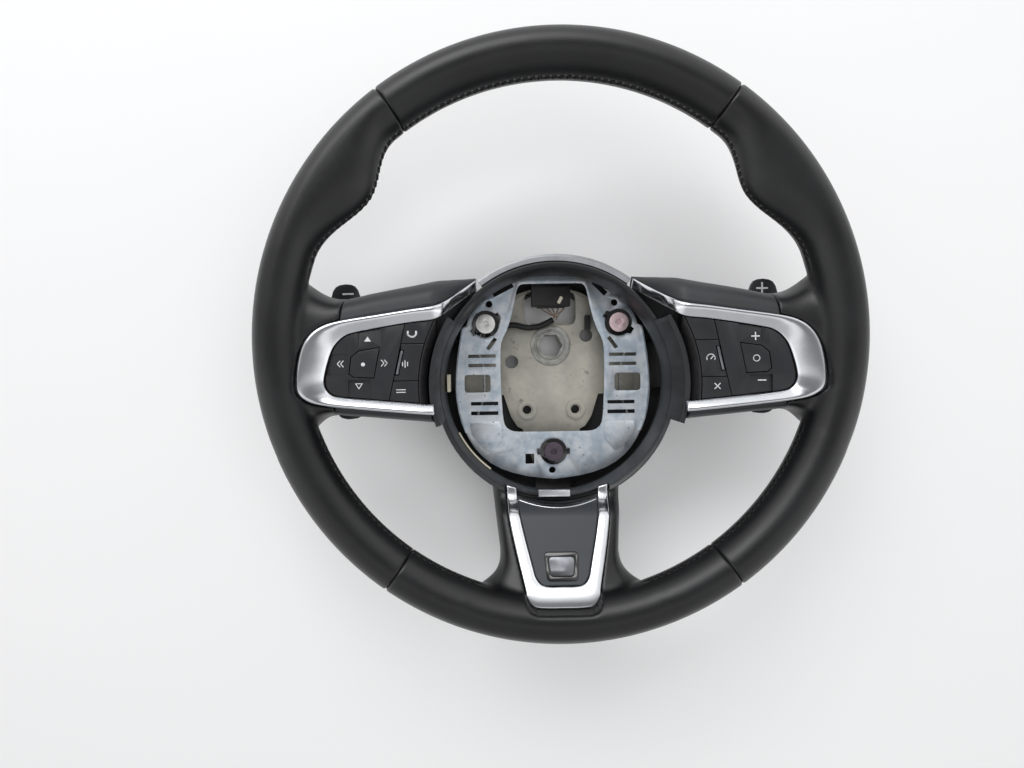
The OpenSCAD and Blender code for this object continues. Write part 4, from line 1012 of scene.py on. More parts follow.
@dataclass
class SideSpoke:
    """Skin of a side spoke and the leather saddle that joins it to the rim, drawn for the right.

    Each table has rows of place along the spoke and value there, both in millimetres.
    """

    top_front: list = field(default_factory=lambda: [
        (54, 43.9), (62, 36.6), (69, 28.6), (77, 23.4), (110, 18.2), (136, 14), (150, 8)])
    top_back: list = field(default_factory=lambda: [(54, 45.8), (63, 44.2), (130, 30.4), (160, 26)])
    low_front: list = field(default_factory=lambda: [
        (54, -47.4), (78, -45.4), (90, -44.3), (120, -41.3), (146, -38.1)])
    low_back: list = field(default_factory=lambda: [(54, -54), (71, -52.5), (156, -43.2)])
    front: list = field(default_factory=lambda: [
        (54, -41.4), (62, -30.4), (69, -13.4), (77, -3.8), (110, -0.8), (136, 1.6), (160, 5)])
    back: list = field(default_factory=lambda: [
        (54, -52), (80, -44), (97, -36), (110, -33), (140, -30), (160, -26)])
    flare: list = field(default_factory=lambda: [
        (137, 0), (143, 0.8), (148, 3), (153, 7), (158, 12), (168, 20)])
    start: float = 54.0
    end: float = 137.0
    leather_from: float = 0.3
    leather_to: float = 169.0
    drop: float = 22.0
    points: int = 90
    wall: float = 2.2
    off_shroud: float = 0.4
    slant: float = 3.2
    slant_from: float = 118.0
    slant_to: float = 160.0
    slant_mid: float = -12.0
    slant_half: float = 40.0
    lip_back: tuple = (1.2, 0.6, 0.25, 0.0)
    lip_draw: tuple = (0.05, 0.2, 0.5, 1.1)

    def outer_loop(self, x: Array, spread: Array) -> Array:
        """Outline of the trough's outside at each x, from the upper front edge round the back.

        Args:
            x: Stations along the spoke.
            spread: How far each section is widened.

        Returns:
            Array of stations, points and (y, z), from the edge tables.
        """
        upper = table(self.top_front, x), table(self.top_back, x) + spread
        lower = table(self.low_front, x), table(self.low_back, x) - spread
        return trough(upper, lower, table(self.front, x), table(self.back, x), self.drop, self.points)

    def leaned(self, x: Array, loop: Array, share: Array) -> Array:
        """Sections in millimetres of the wheel, which lean with the slanting seam.

        Args:
            x: Stations along the spoke.
            loop: Outlines across it.
            share: Share of the slant at each station.

        Returns:
            Array of stations, points and (x, y, z). A point leans towards the hub by the slant times
            its height over slant_half, from -1 to 1, times the share at its station.
        """
        rings = np.concatenate([np.broadcast_to(x[:, None, None], (*loop.shape[:2], 1)), loop], axis=2)
        lean = np.clip((loop[..., 0] - self.slant_mid) / self.slant_half, -1, 1)
        rings[..., 0] -= lean * self.slant * share[:, None]
        rings[..., 2] += RIM_Z
        return rings

    def cover(self, side: Side) -> bpy.types.Object:
        """Builds the spoke's skin: the trough's outside, and the same drawn in by the wall."""
        x = np.concatenate([np.linspace(self.start, self.end - 2, 60), self.end - np.array(self.lip_back)])
        loop = self.outer_loop(x, np.zeros(len(x)))
        roll = np.zeros(len(x))
        roll[-len(self.lip_draw):] = self.lip_draw
        step = np.gradient(loop, axis=1)
        step /= np.linalg.norm(step, axis=2, keepdims=True)
        inward = np.stack([step[..., 1], -step[..., 0]], axis=-1)
        towards = (inward * (loop.mean(1, keepdims=True) - loop)).sum(-1, keepdims=True)
        inward *= np.where(towards.mean(1, keepdims=True) < 0, -1, 1)
        outer = loop + inward * roll[:, None, None]
        inner = loop + inward * self.wall
        both = np.concatenate([outer, inner[:, ::-1]], axis=1)
        rings = self.leaned(x, both, smooth_step(x, self.slant_from, self.end))
        half_chord = np.sqrt(np.maximum((SHROUD_R + self.off_shroud)**2 - (rings[..., 1] - SHROUD_Y)**2, 0))
        rings[..., 0] = np.maximum(rings[..., 0], half_chord + 0.01 * np.arange(len(x))[:, None])
        n = both.shape[1]
        verts = rings.reshape(-1, 3)
        faces = [grid_faces(len(x), n, False, True)]
        half = n // 2
        j = np.arange(half - 1)
        last = (len(x) - 1) * n
        strip = np.stack([j, j + 1, n - 2 - j, n - 1 - j], axis=1)
        faces += [strip[:, ::-1], strip + last]
        piece = write_mesh(f"spoke_skin_{side.word}", *mirrored_x((verts, faces), side))
        return dress(piece, Finish.SKIN, "wheel", "soft_skin", f"spoke_cover_{side.word}")

    def saddle(self) -> tuple[Array, list]:
        """Solid of the leather saddle from the seam outwards into the rim."""
        x = np.linspace(self.end + self.leather_from, self.leather_to, 24)
        spread = np.interp(x, *np.asarray(self.flare, float).T)
        loop = self.outer_loop(x, spread)
        return lofted(self.leaned(x, loop, 1 - smooth_step(x, self.end, self.slant_to)))


@dataclass
class LowerSpoke:
    """Lower spoke: its leather skin, the bright U trim and the grained panel.

    The first four tables have rows of distance below the hub axis and value there, and the last two
    are the right halves of the trim's outlines, all in millimetres.
    """

    trim_hw: list = field(default_factory=lambda: [
        (96, 34.9), (112, 33.6), (120, 32.3), (136, 28.6), (157, 23.4), (166, 21)])
    outer_hw: list = field(default_factory=lambda: [
        (92, 46), (104, 44.5), (120, 42), (138, 39.5), (144, 40), (149, 42.5), (153, 47), (158, 56),
        (164, 66), (170, 74)])
    face: list = field(default_factory=lambda: [
        (92, -38), (103, -36.5), (107, -34), (113, -24), (120, -20), (140, -9), (160, 3), (170, 7)])
    back: list = field(default_factory=lambda: [
        (92, -64), (104, -60), (120, -48), (140, -35), (150, -28), (158, -21.5), (164, -17), (170, -14)])
    half_outer: list = field(default_factory=lambda: [
        (0, -165.4), (10, -165.4), (18.5, -164.4), (22.4, -160), (23.8, -154), (28.6, -136),
        (32.3, -120), (33.8, -110), (34.9, -97)])
    half_inner: list = field(default_factory=lambda: [
        (0, -153.8), (8, -153.8), (13.4, -152.6), (16.9, -149), (18.8, -143), (23, -128),
        (25.8, -116.5), (27, -110), (28.1, -99)])
    top: float = 95.0
    low: float = 170.0
    drop: float = 16.0
    points: int = 90
    trim_gap: float = 0.4
    leather_sink: float = 1.4
    trim_thick: float = 3.0
    panel_wall: float = 2.2
    panel_gap: float = 0.55
    panel_edge: float = 0.9
    panel_round: float = 0.7
    panel_first: float = -99.2
    panel_from: float = -99.6
    panel_to: float = -150.0
    panel_foot: float = 3.3
    panel_end: float = 153.4
    panel_off_shroud: float = 0.5

    def face_z(self, y: Array) -> Array:
        """Height of the trims' face at plan points, which follows the spoke's bend."""
        return RIM_Z + table(self.face, -np.asarray(y))

    def outline(self, half: list, count: int) -> Array:
        """Open curve of the left half, the bottom and the right half, from hub to hub."""
        right = spline(half, count)
        return np.vstack([right[:0:-1] * np.array([-1, 1]), right])

    def saddle(self) -> tuple[Array, list]:
        """Solid of the leather skin from the shroud down into the rim."""
        y = np.linspace(self.top, self.low, 60)
        a = table(self.trim_hw, y) + self.trim_gap
        b = np.interp(y, *np.asarray(self.outer_hw, float).T)
        front, back = table(self.face, y) - self.leather_sink, table(self.back, y)
        loop = trough((a, b), (-a, -b), front, back, self.drop, self.points)
        rings = np.stack([loop[..., 0], np.broadcast_to(-y[:, None], loop.shape[:2]), loop[..., 1] + RIM_Z],
                         axis=-1)
        return lofted(rings)

    def trim(self) -> bpy.types.Object:
        """Builds the bright U: a crowned strip between its outer and inner outlines."""
        o, i = self.outline(self.half_outer, 90), self.outline(self.half_inner, 90)
        share = np.array([0.0, 0.0, 0.03, 0.09, 0.2, 0.36, 0.52, 0.68, 0.82, 0.92, 0.98, 1.0, 1.0])
        rise = np.array([-self.trim_thick, -0.5, -0.12, 0.1, 0.3, 0.46, 0.52, 0.5, 0.38, 0.18, -0.1, -0.6,
                         -self.trim_thick])
        plan = i[:, None] + (o - i)[:, None] * share[None, :, None]
        z = self.face_z(plan[..., 1]) + rise[None, :]
        piece = write_mesh("lower_trim_u", *lofted(np.concatenate([plan, z[..., None]], axis=2)))
        return dress(piece, Finish.CHROME, "wheel", "satin_chrome", "lower_trim")

    def panel(self) -> bpy.types.Object:
        """Builds the grained panel: rows across the spoke between its rounded sides, with a wall."""
        edge = spline(self.half_inner, 400)
        order = np.argsort(edge[:, 1])
        foot = self.panel_to - self.panel_foot * np.sin(np.linspace(0.1, 1, 16) * math.pi / 2)
        y = np.concatenate([[self.panel_first], np.linspace(self.panel_from, self.panel_to, 150), foot])
        hw = np.interp(y, edge[order, 1], edge[order, 0]) - self.panel_gap
        s = np.linspace(-1, 1, 61)
        bend = np.sin(s * math.pi / 2)
        x = hw[:, None] * bend[None, :]
        hub = SHROUD_Y - np.sqrt(np.maximum(SHROUD_R**2 - x**2, 0)) + self.panel_off_shroud
        yy = np.broadcast_to(y[:, None], x.shape)
        lift = smooth_step(yy, -112, -99)
        yy = yy + lift * (hub - self.panel_first) * smooth_step(yy, -120, self.panel_first)
        edge_gap = np.minimum(hw[:, None] * (1 - np.abs(bend[None, :])), np.abs(y[:, None] + self.panel_end))
        inset = 1 - np.clip(edge_gap / self.panel_edge, 0, 1)
        round_off = self.panel_round * (1 - np.sqrt(np.clip(1 - inset**2, 0, 1)))
        z = self.face_z(yy) - self.panel_gap - round_off
        top_grid = np.stack([x, yy, z], axis=-1)
        under = top_grid.copy()
        under[..., 2] -= self.panel_wall
        rows, cols = x.shape
        n = rows * cols
        verts = np.vstack([top_grid.reshape(-1, 3), under.reshape(-1, 3)])
        f = grid_faces(rows, cols, False, False)
        rim = np.concatenate([np.arange(cols - 1), np.arange(rows - 1) * cols + cols - 1,
                              n - 1 - np.arange(cols - 1), (rows - 1 - np.arange(rows - 1)) * cols])
        nxt = np.roll(rim, -1)
        wall = np.stack([rim, rim + n, nxt + n, nxt], axis=1)
        piece = write_mesh("lower_panel_face", verts, [f, f[:, ::-1] + n, wall])
        return dress(piece, Finish.PANEL, "wheel", "soft_skin", "lower_panel")


def stroke(points: list, width: float) -> list:
    """Rectangles, one for each stretch of a line, lengthened by half its width at both ends."""
    p = np.asarray(points, float)
    a, b = p[:-1], p[1:]
    way = (b - a) / np.linalg.norm(b - a, axis=1, keepdims=True) * width / 2
    side = np.stack([-way[:, 1], way[:, 0]], axis=1)
    return np.stack([a - way - side, b + way - side, b + way + side, a - way + side], axis=1).tolist()


def arc(radius: float, start: float, stop: float, steps: int = 12) -> list:
    """Points on a circle round the origin between two angles in degrees."""
    a = np.radians(np.linspace(start, stop, steps + 1))
    return np.stack([radius * np.cos(a), radius * np.sin(a)], axis=1).tolist()


class Sign(Enum):
    """Generic marks of the keys and paddles, each a list of flat shapes round its middle."""

    UP = ([(-2.1, -1.3), (2.1, -1.3), (0, 1.7)],)
    DOWN = tuple(stroke([(-2.0, 1.4), (2.0, 1.4), (0, -1.7), (-2.0, 1.4)], 0.45))
    BACK = tuple(stroke([(-0.4, 1.8), (-2.0, 0), (-0.4, -1.8)], 0.5)
                 + stroke([(1.6, 1.8), (0, 0), (1.6, -1.8)], 0.5))
    ON = tuple(stroke([(0.4, 1.8), (2.0, 0), (0.4, -1.8)], 0.5)
               + stroke([(-1.6, 1.8), (0, 0), (-1.6, -1.8)], 0.5))
    PLUS = tuple(stroke([(-2.2, 0), (2.2, 0)], 0.7) + stroke([(0, -2.2), (0, 2.2)], 0.7))
    MINUS = tuple(stroke([(-2.2, 0), (2.2, 0)], 0.7))
    BIG_PLUS = tuple(stroke([(-3.4, 0), (3.4, 0)], 1.2) + stroke([(0, -3.4), (0, 3.4)], 1.2))
    BIG_MINUS = tuple(stroke([(-3.2, 0), (3.2, 0)], 1.2))
    RING = tuple(stroke(arc(1.9, 0, 360, 20), 0.5))
    DOT = (arc(1.2, 0, 340, 17),)
    CROSS = tuple(stroke([(-1.6, -1.6), (1.6, 1.6)], 0.55) + stroke([(-1.6, 1.6), (1.6, -1.6)], 0.55))
    BARS = tuple(stroke([(-2.6, 0.8), (2.6, 0.8)], 0.5) + stroke([(-2.6, -0.8), (2.6, -0.8)], 0.5))
    CRADLE = tuple(stroke(arc(2.7, 205, 335), 1.0) + stroke([(-2.5, -1.1), (-2.5, 0.4)], 1.1)
                   + stroke([(2.5, -1.1), (2.5, 0.4)], 1.1))
    SPEECH = tuple(stroke([(-1.5, -1.0), (-1.5, 1.0)], 0.55) + stroke([(0, -2.0), (0, 2.0)], 0.55)
                   + stroke([(1.5, -1.0), (1.5, 1.0)], 0.55))
    GAUGE = tuple(stroke(arc(2.5, -20, 200), 0.5) + stroke([(0, -0.4), (1.3, 1.1)], 0.5))


@dataclass(frozen=True)
class Mark:
    """A printed mark on a key or paddle, at a plan place."""

    node: str
    sign: Sign
    x: float
    y: float
    rise: float = 0.06
    sink: float = 0.25

    def build(self, body: str) -> None:
        """Builds the mark: prisms whose corners stand a hair above the key's own surface."""
        mesh = frame["nodes"][self.node].data
        co = np.empty(len(mesh.vertices) * 3, np.float32)
        mesh.vertices.foreach_get("co", co)
        tree = BVHTree.FromPolygons(co.reshape(-1, 3).tolist(), [list(f.vertices) for f in mesh.polygons])
        parts = []
        for cell in self.sign.value:
            plan = np.asarray(cell) + np.array([self.x, self.y])
            hits = [tree.ray_cast(Vector((x * MM, y * MM, 1.0)), Vector((0, 0, -1)))[0] for x, y in plan]
            z = np.array([hit.z / MM if hit else np.nan for hit in hits])
            z = np.where(np.isnan(z), np.nanmean(z), z)
            parts.append(lofted(np.stack([np.column_stack([plan, z - self.sink]),
                                          np.column_stack([plan, z + self.rise])])))
        piece = write_mesh(f"mark_{self.node}_{self.sign.name.lower()}", *merged(parts))
        shade(piece, False)
        dress(piece, Finish.INK, body, "marker_plastic")


MARKS = (
    Mark("rocker_left", Sign.UP, -118.8, 2.4), Mark("rocker_left", Sign.BACK, -135.4, -12.5),
    Mark("rocker_left", Sign.ON, -109.0, -12.3), Mark("rocker_left", Sign.DOWN, -124.9, -26.3),
    Mark("centre_button_left", Sign.DOT, -121.7, -13.0), Mark("call_button", Sign.CRADLE, -91.6, 6.4),
    Mark("voice_button", Sign.SPEECH, -96.2, -13.1), Mark("mode_button", Sign.BARS, -99.0, -29.8),
    Mark("rocker_right", Sign.PLUS, 120.8, 1.1), Mark("rocker_right", Sign.MINUS, 125.2, -26.2),
    Mark("centre_button_right", Sign.RING, 121.2, -12.5), Mark("limit_button", Sign.GAUGE, 93.7, -12.1),
    Mark("cancel_button", Sign.CROSS, 97.7, -29.5), Mark("paddle_left", Sign.BIG_MINUS, -140.3, 35.1),
    Mark("paddle_right", Sign.BIG_PLUS, 141.2, 35.3))


@dataclass(frozen=True)
class HubBits:
    """Small bits that have no node: tag, lead clip, a pale strip that is a painted highlight on the inner
    edge of the shroud ring, and the bright line over the lower panel.
    """

    tag_at: tuple[float, float, float] = (6.6, 33.0, 32.6)
    tag_size: tuple[float, float, float] = (2.4, 5.4, 0.7)
    tag_turn: float = -28.0
    clip_at: tuple[float, float, float] = (28.2, 16.8, 22.2)
    clip_size: tuple[float, float, float] = (4.2, 11.0, 4.0)
    # The pale strip is a painted highlight: a cream arc where light is reflected on the shroud ring's inner
    # edge.
    strip_r: tuple[float, float] = (76.0, 76.8)
    strip_z: tuple[float, float] = (47.5, 50.5)
    strip_from: float = 207.0
    strip_to: float = 233.0
    line_from: float = 251.5
    line_to: float = 288.5
    line_r: float = 0.5
    line_gap: float = 0.1
    line_sides: int = 8
    corner_r: float = 0.7
    sharp_deg: float = 50.0

    def block(self, name: str, at: tuple, size: tuple, turn: float) -> bpy.types.Object:
        """Box with rounded upright edges, turned about Z by an angle in degrees."""
        hx, hy, hz = (value / 2 for value in size)
        flat = rounded_outline([(-hx, -hy), (hx, -hy), (hx, hy), (-hx, hy)], self.corner_r)
        c, s = math.cos(math.radians(turn)), math.sin(math.radians(turn))
        plan = flat @ np.array([[c, s], [-s, c]]) + np.array(at[:2])
        rings = np.stack([np.column_stack([plan, np.full(len(plan), at[2] + z)]) for z in (-hz, hz)])
        piece = write_mesh(name, *lofted(rings))
        piece.data.set_sharp_from_angle(angle=math.radians(self.sharp_deg))
        return piece

    def build(self, lower: LowerSpoke) -> None:
        """Builds the four bits.

        Args:
            lower: The lower spoke, whose face the bright line lies on.
        """
        tag = self.block("connector_tag", self.tag_at, self.tag_size, self.tag_turn)
        dress(tag, Finish.CREAM, "wheel", "cream_plastic")
        clip = self.block("lead_clip", self.clip_at, self.clip_size, 0.0)
        dress(clip, Finish.BLACK, "wheel", "black_plastic")
        # Painted highlight: a cream arc inside the shroud ring at the lower left stands in for light
        # reflected on its inner edge.
        (r0, r1), (z0, z1) = self.strip_r, self.strip_z
        strip = write_mesh("pale_strip", *revolved([(r0, z0), (r1, z0), (r1, z1), (r0, z1)],
                                                   self.strip_from, self.strip_to, 40))
        strip.data.set_sharp_from_angle(angle=math.radians(self.sharp_deg))
        dress(strip, Finish.CREAM, "wheel", "cream_plastic")
        a = np.radians(np.linspace(self.line_from, self.line_to, 60))
        reach = SHROUD_R + self.line_r + self.line_gap
        x, y = reach * np.cos(a), SHROUD_Y + reach * np.sin(a)
        path = np.stack([x, y, lower.face_z(y)], axis=1)
        line = write_mesh("panel_line", *swept_tube(path, self.line_r, self.line_sides))
        dress(line, Finish.CHROME, "wheel", "satin_chrome")


@dataclass
class LeatherWork:
    """The four leather panels and the thread that closes them, from the shapes that they follow."""

    rim: Rim
    spoke: SideSpoke
    lower: LowerSpoke
    bezel: Bezel
    tuck_from: float = 2.2
    tuck_at: float = 0.35
    tuck_draw: float = 1.3
    side_sink: float = 4.4
    lower_sink: float = 3.9
    lower_hub_side: tuple = ((34.9, -80), (-34.9, -80))
    shroud_lap: float = 1.2
    shroud_below: float = 30.0
    first_rounds: int = 4
    second_share: float = 0.55
    side_rounds: int = 26
    lower_rounds: int = 30
    near_rim: tuple[float, float] = (3.2, 1.2)
    outer_band: tuple[float, float] = (0.2, 2.2)
    outer_scale: float = 4.0
    side_outer: float = 171.0
    side_reach: tuple[float, float] = (2.0, 11.0)
    side_loose: tuple[float, float] = (139.5, 146.0)
    lower_outer: float = 176.0
    lower_reach: tuple[float, float] = (2.0, 12.0)
    lower_loose: tuple[float, float] = (138.0, 148.0)
    lower_only: float = 128.0
    seed: int = 11

    def fused(self, name: str, parts: list) -> bpy.types.Object:
        """One closed skin round overlapping solids, in cells of the voxel size."""
        piece = write_mesh(name, *merged(parts))
        mod = piece.modifiers.new("fuse", "REMESH")
        mod.mode = "VOXEL"
        mod.voxel_size = self.rim.voxel * MM
        return evaluated(piece)

    def top(self) -> None:
        """Builds the upper panel."""
        r = self.rim
        part = r.tube(r.seam_top + r.gap, 180 - r.seam_top - r.gap, 150, 96)
        dress(write_mesh("leather_upper", *part), Finish.LEATHER, "wheel", "rim_leather", "leather_top")

    def tucked(self, verts: Array, outline: Array, floor: Array) -> Array:
        """Leather pressed down under a trim.

        Args:
            verts: Vertices in millimetres.
            outline: Plan outline of the trim.
            floor: Height under the trim for each vertex.

        Returns:
            Vertices, sunk to the floor inside the outline and rounded over from tuck_from outside it.
        """
        gap = outline_distance(verts[:, :2], outline)
        front = verts[:, 2] > floor
        lip = np.clip(1 + gap / self.tuck_from, 0, 1) ** 2 * self.tuck_draw
        z = np.where(gap > -self.tuck_at, np.minimum(verts[:, 2], floor), verts[:, 2] - lip * front)
        out = verts.copy()
        out[:, 2] = np.where(front & (gap > -self.tuck_from), z, verts[:, 2])
        return out

    def outside(self, past: Array) -> Array:
        """Share of a vertex that is the rim's alone: 0 at a limit, rising to 1 as it lies further out."""
        return smooth_step(np.clip(past / self.outer_scale, 0, 3), *self.outer_band)

    def settled(self, piece: bpy.types.Object, verts: Array, ends: tuple, blend: Array, loose: Array,
                rounds: int) -> Array:
        """Fused leather put on the rim's exact surface where it is only rim, and smoothed elsewhere.

        Args:
            piece: The fused piece.
            verts: Its vertices in millimetres.
            ends: Wheel angles of the panel's two seams.
            blend: Share of the rim's surface in each vertex, 1 where it is only rim.
            loose: Share of the smoothing away from the rim.
            rounds: Number of smoothing rounds.

        Returns:
            The moved vertices.
        """
        exact = self.rim.snapped(verts, *ends)
        near = smooth_step(np.linalg.norm(exact - verts, axis=1), *self.near_rim)
        soft = (1 - blend) * loose
        verts = relaxed(piece, verts, self.second_share * soft, rounds)
        return verts + (blend * near)[:, None] * (exact - verts)

    def side(self, side: Side) -> None:
        """Builds a side panel with its saddle."""
        r = self.rim
        ends = r.seam_low + r.gap, r.seam_top - r.gap
        piece = self.fused(f"leather_side_{side.word}", [r.tube(*ends, 130, 72), self.spoke.saddle()])
        verts = coordinates(piece)
        verts = relaxed(piece, verts, np.full(len(verts), 0.5), self.first_rounds)
        flare = np.interp(verts[:, 0], *np.asarray(self.spoke.flare, float).T)
        above = verts[:, 1] - (table(self.spoke.top_back, verts[:, 0]) + flare)
        below = (table(self.spoke.low_back, verts[:, 0]) - flare) - verts[:, 1]
        reach = np.maximum(np.maximum(above, below), 0)
        outer = self.outside(verts[:, 0] - self.side_outer)
        blend = np.clip(smooth_step(reach, *self.side_reach) + outer, 0, 1)
        loose = smooth_step(verts[:, 0], *self.side_loose)
        verts = self.settled(piece, verts, ends, blend, loose, self.side_rounds)
        floor = RIM_Z - self.side_sink + table(self.spoke.front, verts[:, 0])
        verts = self.tucked(verts, self.bezel.plan(), floor)
        if side is Side.LEFT:
            verts[:, 0] *= -1
            piece.data.flip_normals()
        set_coordinates(piece, verts)
        shade(piece, True)
        dress(piece, Finish.LEATHER, "wheel", "rim_leather", f"leather_{side.word}")

    def bottom(self) -> None:
        """Builds the lower panel with the skin of the lower spoke."""
        r = self.rim
        ends = -180 - r.seam_low + r.gap, r.seam_low - r.gap
        piece = self.fused("leather_lower", [r.tube(*ends, 110, 72), self.lower.saddle()])
        verts = coordinates(piece)
        verts = relaxed(piece, verts, np.full(len(verts), 0.5), self.first_rounds)
        y = -verts[:, 1]
        reach = np.maximum(np.abs(verts[:, 0]) - np.interp(y, *np.asarray(self.lower.outer_hw, float).T), 0)
        outer = self.outside(np.hypot(verts[:, 0], y) - self.lower_outer)
        blend = np.clip(smooth_step(reach, *self.lower_reach) * (y > self.lower_only) + outer, 0, 1)
        loose = smooth_step(y, *self.lower_loose)
        verts = self.settled(piece, verts, ends, blend, loose, self.lower_rounds)
        outline = np.vstack([self.lower.outline(self.lower.half_outer, 70), self.lower_hub_side])
        verts = self.tucked(verts, outline, self.lower.face_z(verts[:, 1]) - self.lower_sink)
        rel = verts[:, :2] - np.array([0, SHROUD_Y])
        rho = np.linalg.norm(rel, axis=1)
        keep = SHROUD_R - self.shroud_lap
        behind = verts[:, 2] < RIM_Z - self.shroud_below
        pull = np.where((rho < keep) & behind, keep / rho, 1.0)
        verts[:, :2] = rel * pull[:, None] + np.array([0, SHROUD_Y])
        set_coordinates(piece, verts)
        shade(piece, True)
        dress(piece, Finish.LEATHER, "wheel", "rim_leather", "leather_bottom")

    def thread(self) -> None:
        """Builds the rows of stitches between the spokes, each from seam to seam or spoke."""
        runs = {"upper": (17.5, 162.5), "lower_right": (-70.5, -21.0), "lower_left": (-159.0, -109.5)}
        for k, (word, (low, high)) in enumerate(runs.items()):
            piece = write_mesh(f"stitches_{word}", *self.rim.stitches(low, high, self.seed + k))
            dress(piece, Finish.THREAD, "wheel", "rim_leather")

    def build(self) -> None:
        """Builds every leather piece."""
        self.top()
        self.side(Side.RIGHT)
        self.side(Side.LEFT)
        self.bottom()
        self.thread()


# Stage, light and camera


@dataclass(frozen=True)
class Studio:
    """Pale floor, soft light and the camera at the photograph's place."""

    eye: tuple[float, float, float] = (-31.882, -15.029, 448.770)
    yaw: float = -0.0050
    pitch: float = -0.0328
    roll: float = -0.0145
    focal_px: float = 560.0
    frame_px: float = 1024.0
    sensor: float = 36.0
    floor_half: float = 4000.0
    floor_z: float = -0.2
    aim: tuple[float, float, float] = (0.0, -0.02, 0.1)
    seen_level: float = 0.9
    soft_level: float = 0.5
    least_shine: float = 0.1

    def camera(self) -> None:
        """Places the camera: turned about Y by yaw, then about X by pitch, then about Z by roll."""
        data = bpy.data.cameras.new("view")
        data.sensor_width = self.sensor
        data.lens = self.focal_px / self.frame_px * self.sensor
        data.clip_start = 0.01
        eye = bpy.data.objects.new("view", data)
        bpy.context.scene.collection.objects.link(eye)
        turn = (Matrix.Rotation(self.yaw, 4, "Y") @ Matrix.Rotation(self.pitch, 4, "X")
                @ Matrix.Rotation(self.roll, 4, "Z"))
        eye.matrix_world = Matrix.Translation(Vector(self.eye) * MM) @ turn
        bpy.context.scene.camera = eye

    def floor(self) -> None:
        """Lays the pale floor under the wheel."""
        half, z = self.floor_half, self.floor_z
        verts = np.array([(-half, -half, z), (half, -half, z), (half, half, z), (-half, half, z)])
        piece = write_mesh("floor", verts, [np.array([[0, 1, 2, 3]])])
        material, g = new_graph("pale_floor")
        cloud = g.noise(g.place(), 3.0, 2.0)
        g.surface(Base_Color=g.blend(cloud, linear(250, 250, 251), linear(246, 247, 248)), Roughness=0.9)
        piece.data.materials.append(material)

    def lamp(self, name: str, place: tuple, size: tuple, power: float, shines: bool) -> None:
        """Adds a soft rectangular lamp that points at the wheel.

        Args:
            name: Name of the lamp.
            place: Its middle, in metres.
            size: Its two sides, in metres.
            power: Its power in watts.
            shines: Whether bright metal mirrors it.
        """
        data = bpy.data.lights.new(name, "AREA")
        data.shape = "RECTANGLE"
        data.size, data.size_y = size
        data.energy = power
        lamp = bpy.data.objects.new(name, data)
        lamp.visible_glossy = shines
        bpy.context.scene.collection.objects.link(lamp)
        turn = (Vector(self.aim) - Vector(place)).to_track_quat("-Z", "Y").to_matrix().to_4x4()
        lamp.matrix_world = Matrix.Translation(Vector(place)) @ turn

    def world(self) -> None:
        """Sets the surroundings: even for the camera and soft light, graded for reflections."""
        scene = bpy.context.scene
        world = bpy.data.worlds.new("surroundings")
        scene.world = world
        g = Graph(world)
        way = g.node("ShaderNodeTexCoord", out="Generated")
        x, y, z = (g.part(way, axis) for axis in "XYZ")
        back = y.ramp(0.30, 0.62) * 0.85
        front = y.ramp(-0.02, -0.16) * 0.78 - y.ramp(-0.24, -0.44) * 0.45
        sides = (x * x).ramp(0.06, 0.5) * 0.42
        shine = (back + front + sides + 0.14) * z.ramp(-0.3, 0.05) + self.least_shine
        glossy = g.node("ShaderNodeLightPath", out="Is Glossy Ray")
        camera = g.node("ShaderNodeLightPath", out="Is Camera Ray")
        even = camera * self.seen_level + (1 - camera) * self.soft_level
        level = glossy * shine + (1 - glossy) * even
        shader = g.node("ShaderNodeBackground", None, {"Color": (1.0, 1.0, 1.0), "Strength": level})
        g.node_output("ShaderNodeOutputWorld", shader)

    def build(self) -> None:
        """Builds the whole stage."""
        view = bpy.context.scene.view_settings
        view.view_transform = "Standard"
        self.camera()
        self.floor()
        self.lamp("window", (-0.5, 1.3, 1.4), (1.6, 0.9), 17.0, True)
        self.lamp("ceiling", (0.5, 0.1, 1.9), (1.6, 1.6), 11.0, False)
        self.world()


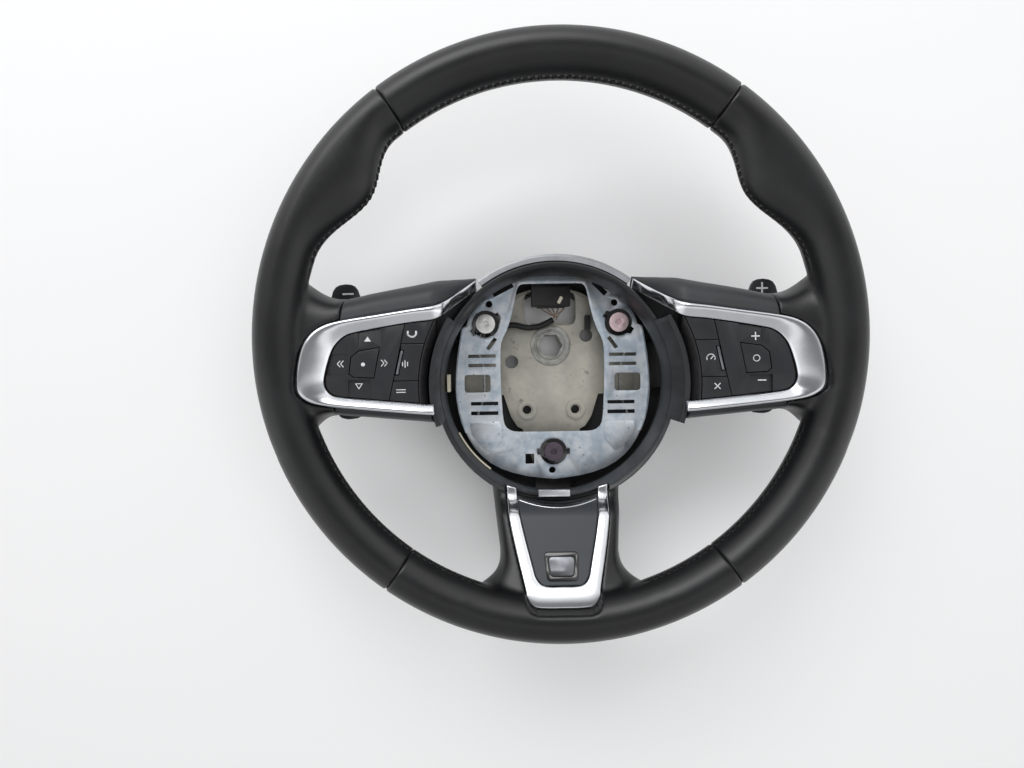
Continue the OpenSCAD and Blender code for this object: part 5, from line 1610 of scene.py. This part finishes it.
class Carried:
    """Nodes whose own solid is shown, with a finish and, where edges show, a fine bevel."""

    plain: dict = {
        "armature": (Finish.CAST, "cast_magnesium", 0.5),
        "hub_insert": (Finish.INSERT, "steel_insert", 0.3),
        "rim_foam": (Finish.FOAM, "foam", 0.0),
        "hub_shroud": (Finish.SHROUD, "black_plastic", 0.5),
        "rear_cover": (Finish.REAR, "black_plastic", 0.5),
        "arc_trim": (Finish.SATIN, "satin_chrome", 0.0),
        "badge_frame": (Finish.GLOSS, "black_plastic", 0.4),
        "badge_insert": (Finish.BADGE, "satin_chrome", 0.3),
        "lower_clip": (Finish.SATIN, "satin_chrome", 0.2),
        "horn_plate": (Finish.ZINC, "zinc_steel", 0.4),
        "bushing_left": (Finish.GLOSS, "bushing_plastic", 0.3),
        "bushing_right": (Finish.GLOSS, "bushing_plastic", 0.3),
        "bushing_lower": (Finish.GLOSS, "bushing_plastic", 0.3),
        "guide_pins": (Finish.HEADS, "pin_steel", 0.25),
        "horn_spring_left": (Finish.WIRE, "spring_wire", 0.0),
        "horn_spring_right": (Finish.WIRE, "spring_wire", 0.0),
        "horn_spring_lower": (Finish.WIRE, "spring_wire", 0.0),
        "snap_wire_left": (Finish.WIRE, "spring_wire", 0.0),
        "snap_wire_right": (Finish.WIRE, "spring_wire", 0.0),
        "side_clip": (Finish.CREAM, "cream_plastic", 0.4),
        "connector": (Finish.BLACK, "black_plastic", 0.4),
        "connector_leads": (Finish.LEAD, "lead_insulation", 0.0),
        "loom": (Finish.TAPE, "loom_tape", 0.0),
    }

    def body_of(self, node: str) -> str:
        """The body that a node moves with."""
        bodies = frame["record"]["behaviour"]["bodies"]
        return next(b for b, members in bodies.items() if node in members)

    def show(self, node: str, finish: Finish, slot: str, bevel: float) -> bpy.types.Object:
        """Shows a node by a copy with broken edges and the finish."""
        piece = clean_copy(node, f"{node}_solid", bevel)
        return dress(piece, finish, self.body_of(node), slot, node)

    def sided(self) -> dict:
        """Finish, slot and bevel of the nodes that stand on both sides or in one switch panel."""
        rows = {}
        for side in Side:
            rows[f"switch_housing_{side.word}"] = (Finish.BLACK, "black_plastic", 0.3)
            rows[f"switch_board_{side.word}"] = (Finish.BOARD, "circuit_board", 0.0)
            rows[f"rocker_{side.word}"] = (Finish.KEYS, "key_plastic", 0.25)
            rows[f"centre_button_{side.word}"] = (Finish.KEYS, "key_plastic", 0.35)
            rows[f"marker_bar_{side.word}"] = (Finish.BAR, "marker_plastic", 0.15)
            rows[f"paddle_{side.word}"] = (Finish.PADDLE, "paddle_plastic", 0.6)
            rows[f"paddle_pin_{side.word}"] = (Finish.PINS, "pin_steel", 0.2)
            rows[f"paddle_base_{side.word}"] = (Finish.BLACK, "black_plastic", 0.4)
        for key in ("call", "voice", "mode", "blank", "limit", "cancel"):
            rows[f"{key}_button"] = (Finish.KEYS, "key_plastic", 0.25)
        rows["gimbal_left"] = (Finish.CREAM, "pale_plastic", 0.3)
        return rows

    def build(self) -> None:
        """Shows every such node."""
        for node, (finish, slot, bevel) in {**self.plain, **self.sided()}.items():
            self.show(node, finish, slot, bevel)


def main() -> None:
    """Builds the stage and every sub-assembly in order."""
    Studio().build()
    rim, spoke, lower, bezel = Rim(), SideSpoke(), LowerSpoke(), Bezel()
    LeatherWork(rim, spoke, lower, bezel).build()
    for side in Side:
        spoke.cover(side)
        bezel.build(side)
    lower.trim()
    lower.panel()
    HubBits().build(lower)
    carried = Carried()
    carried.build()
    for mark in MARKS:
        mark.build(carried.body_of(mark.node))


if __name__ == "__main__":
    logging.basicConfig(level=logging.INFO, format="%(name)s %(message)s")
    main()
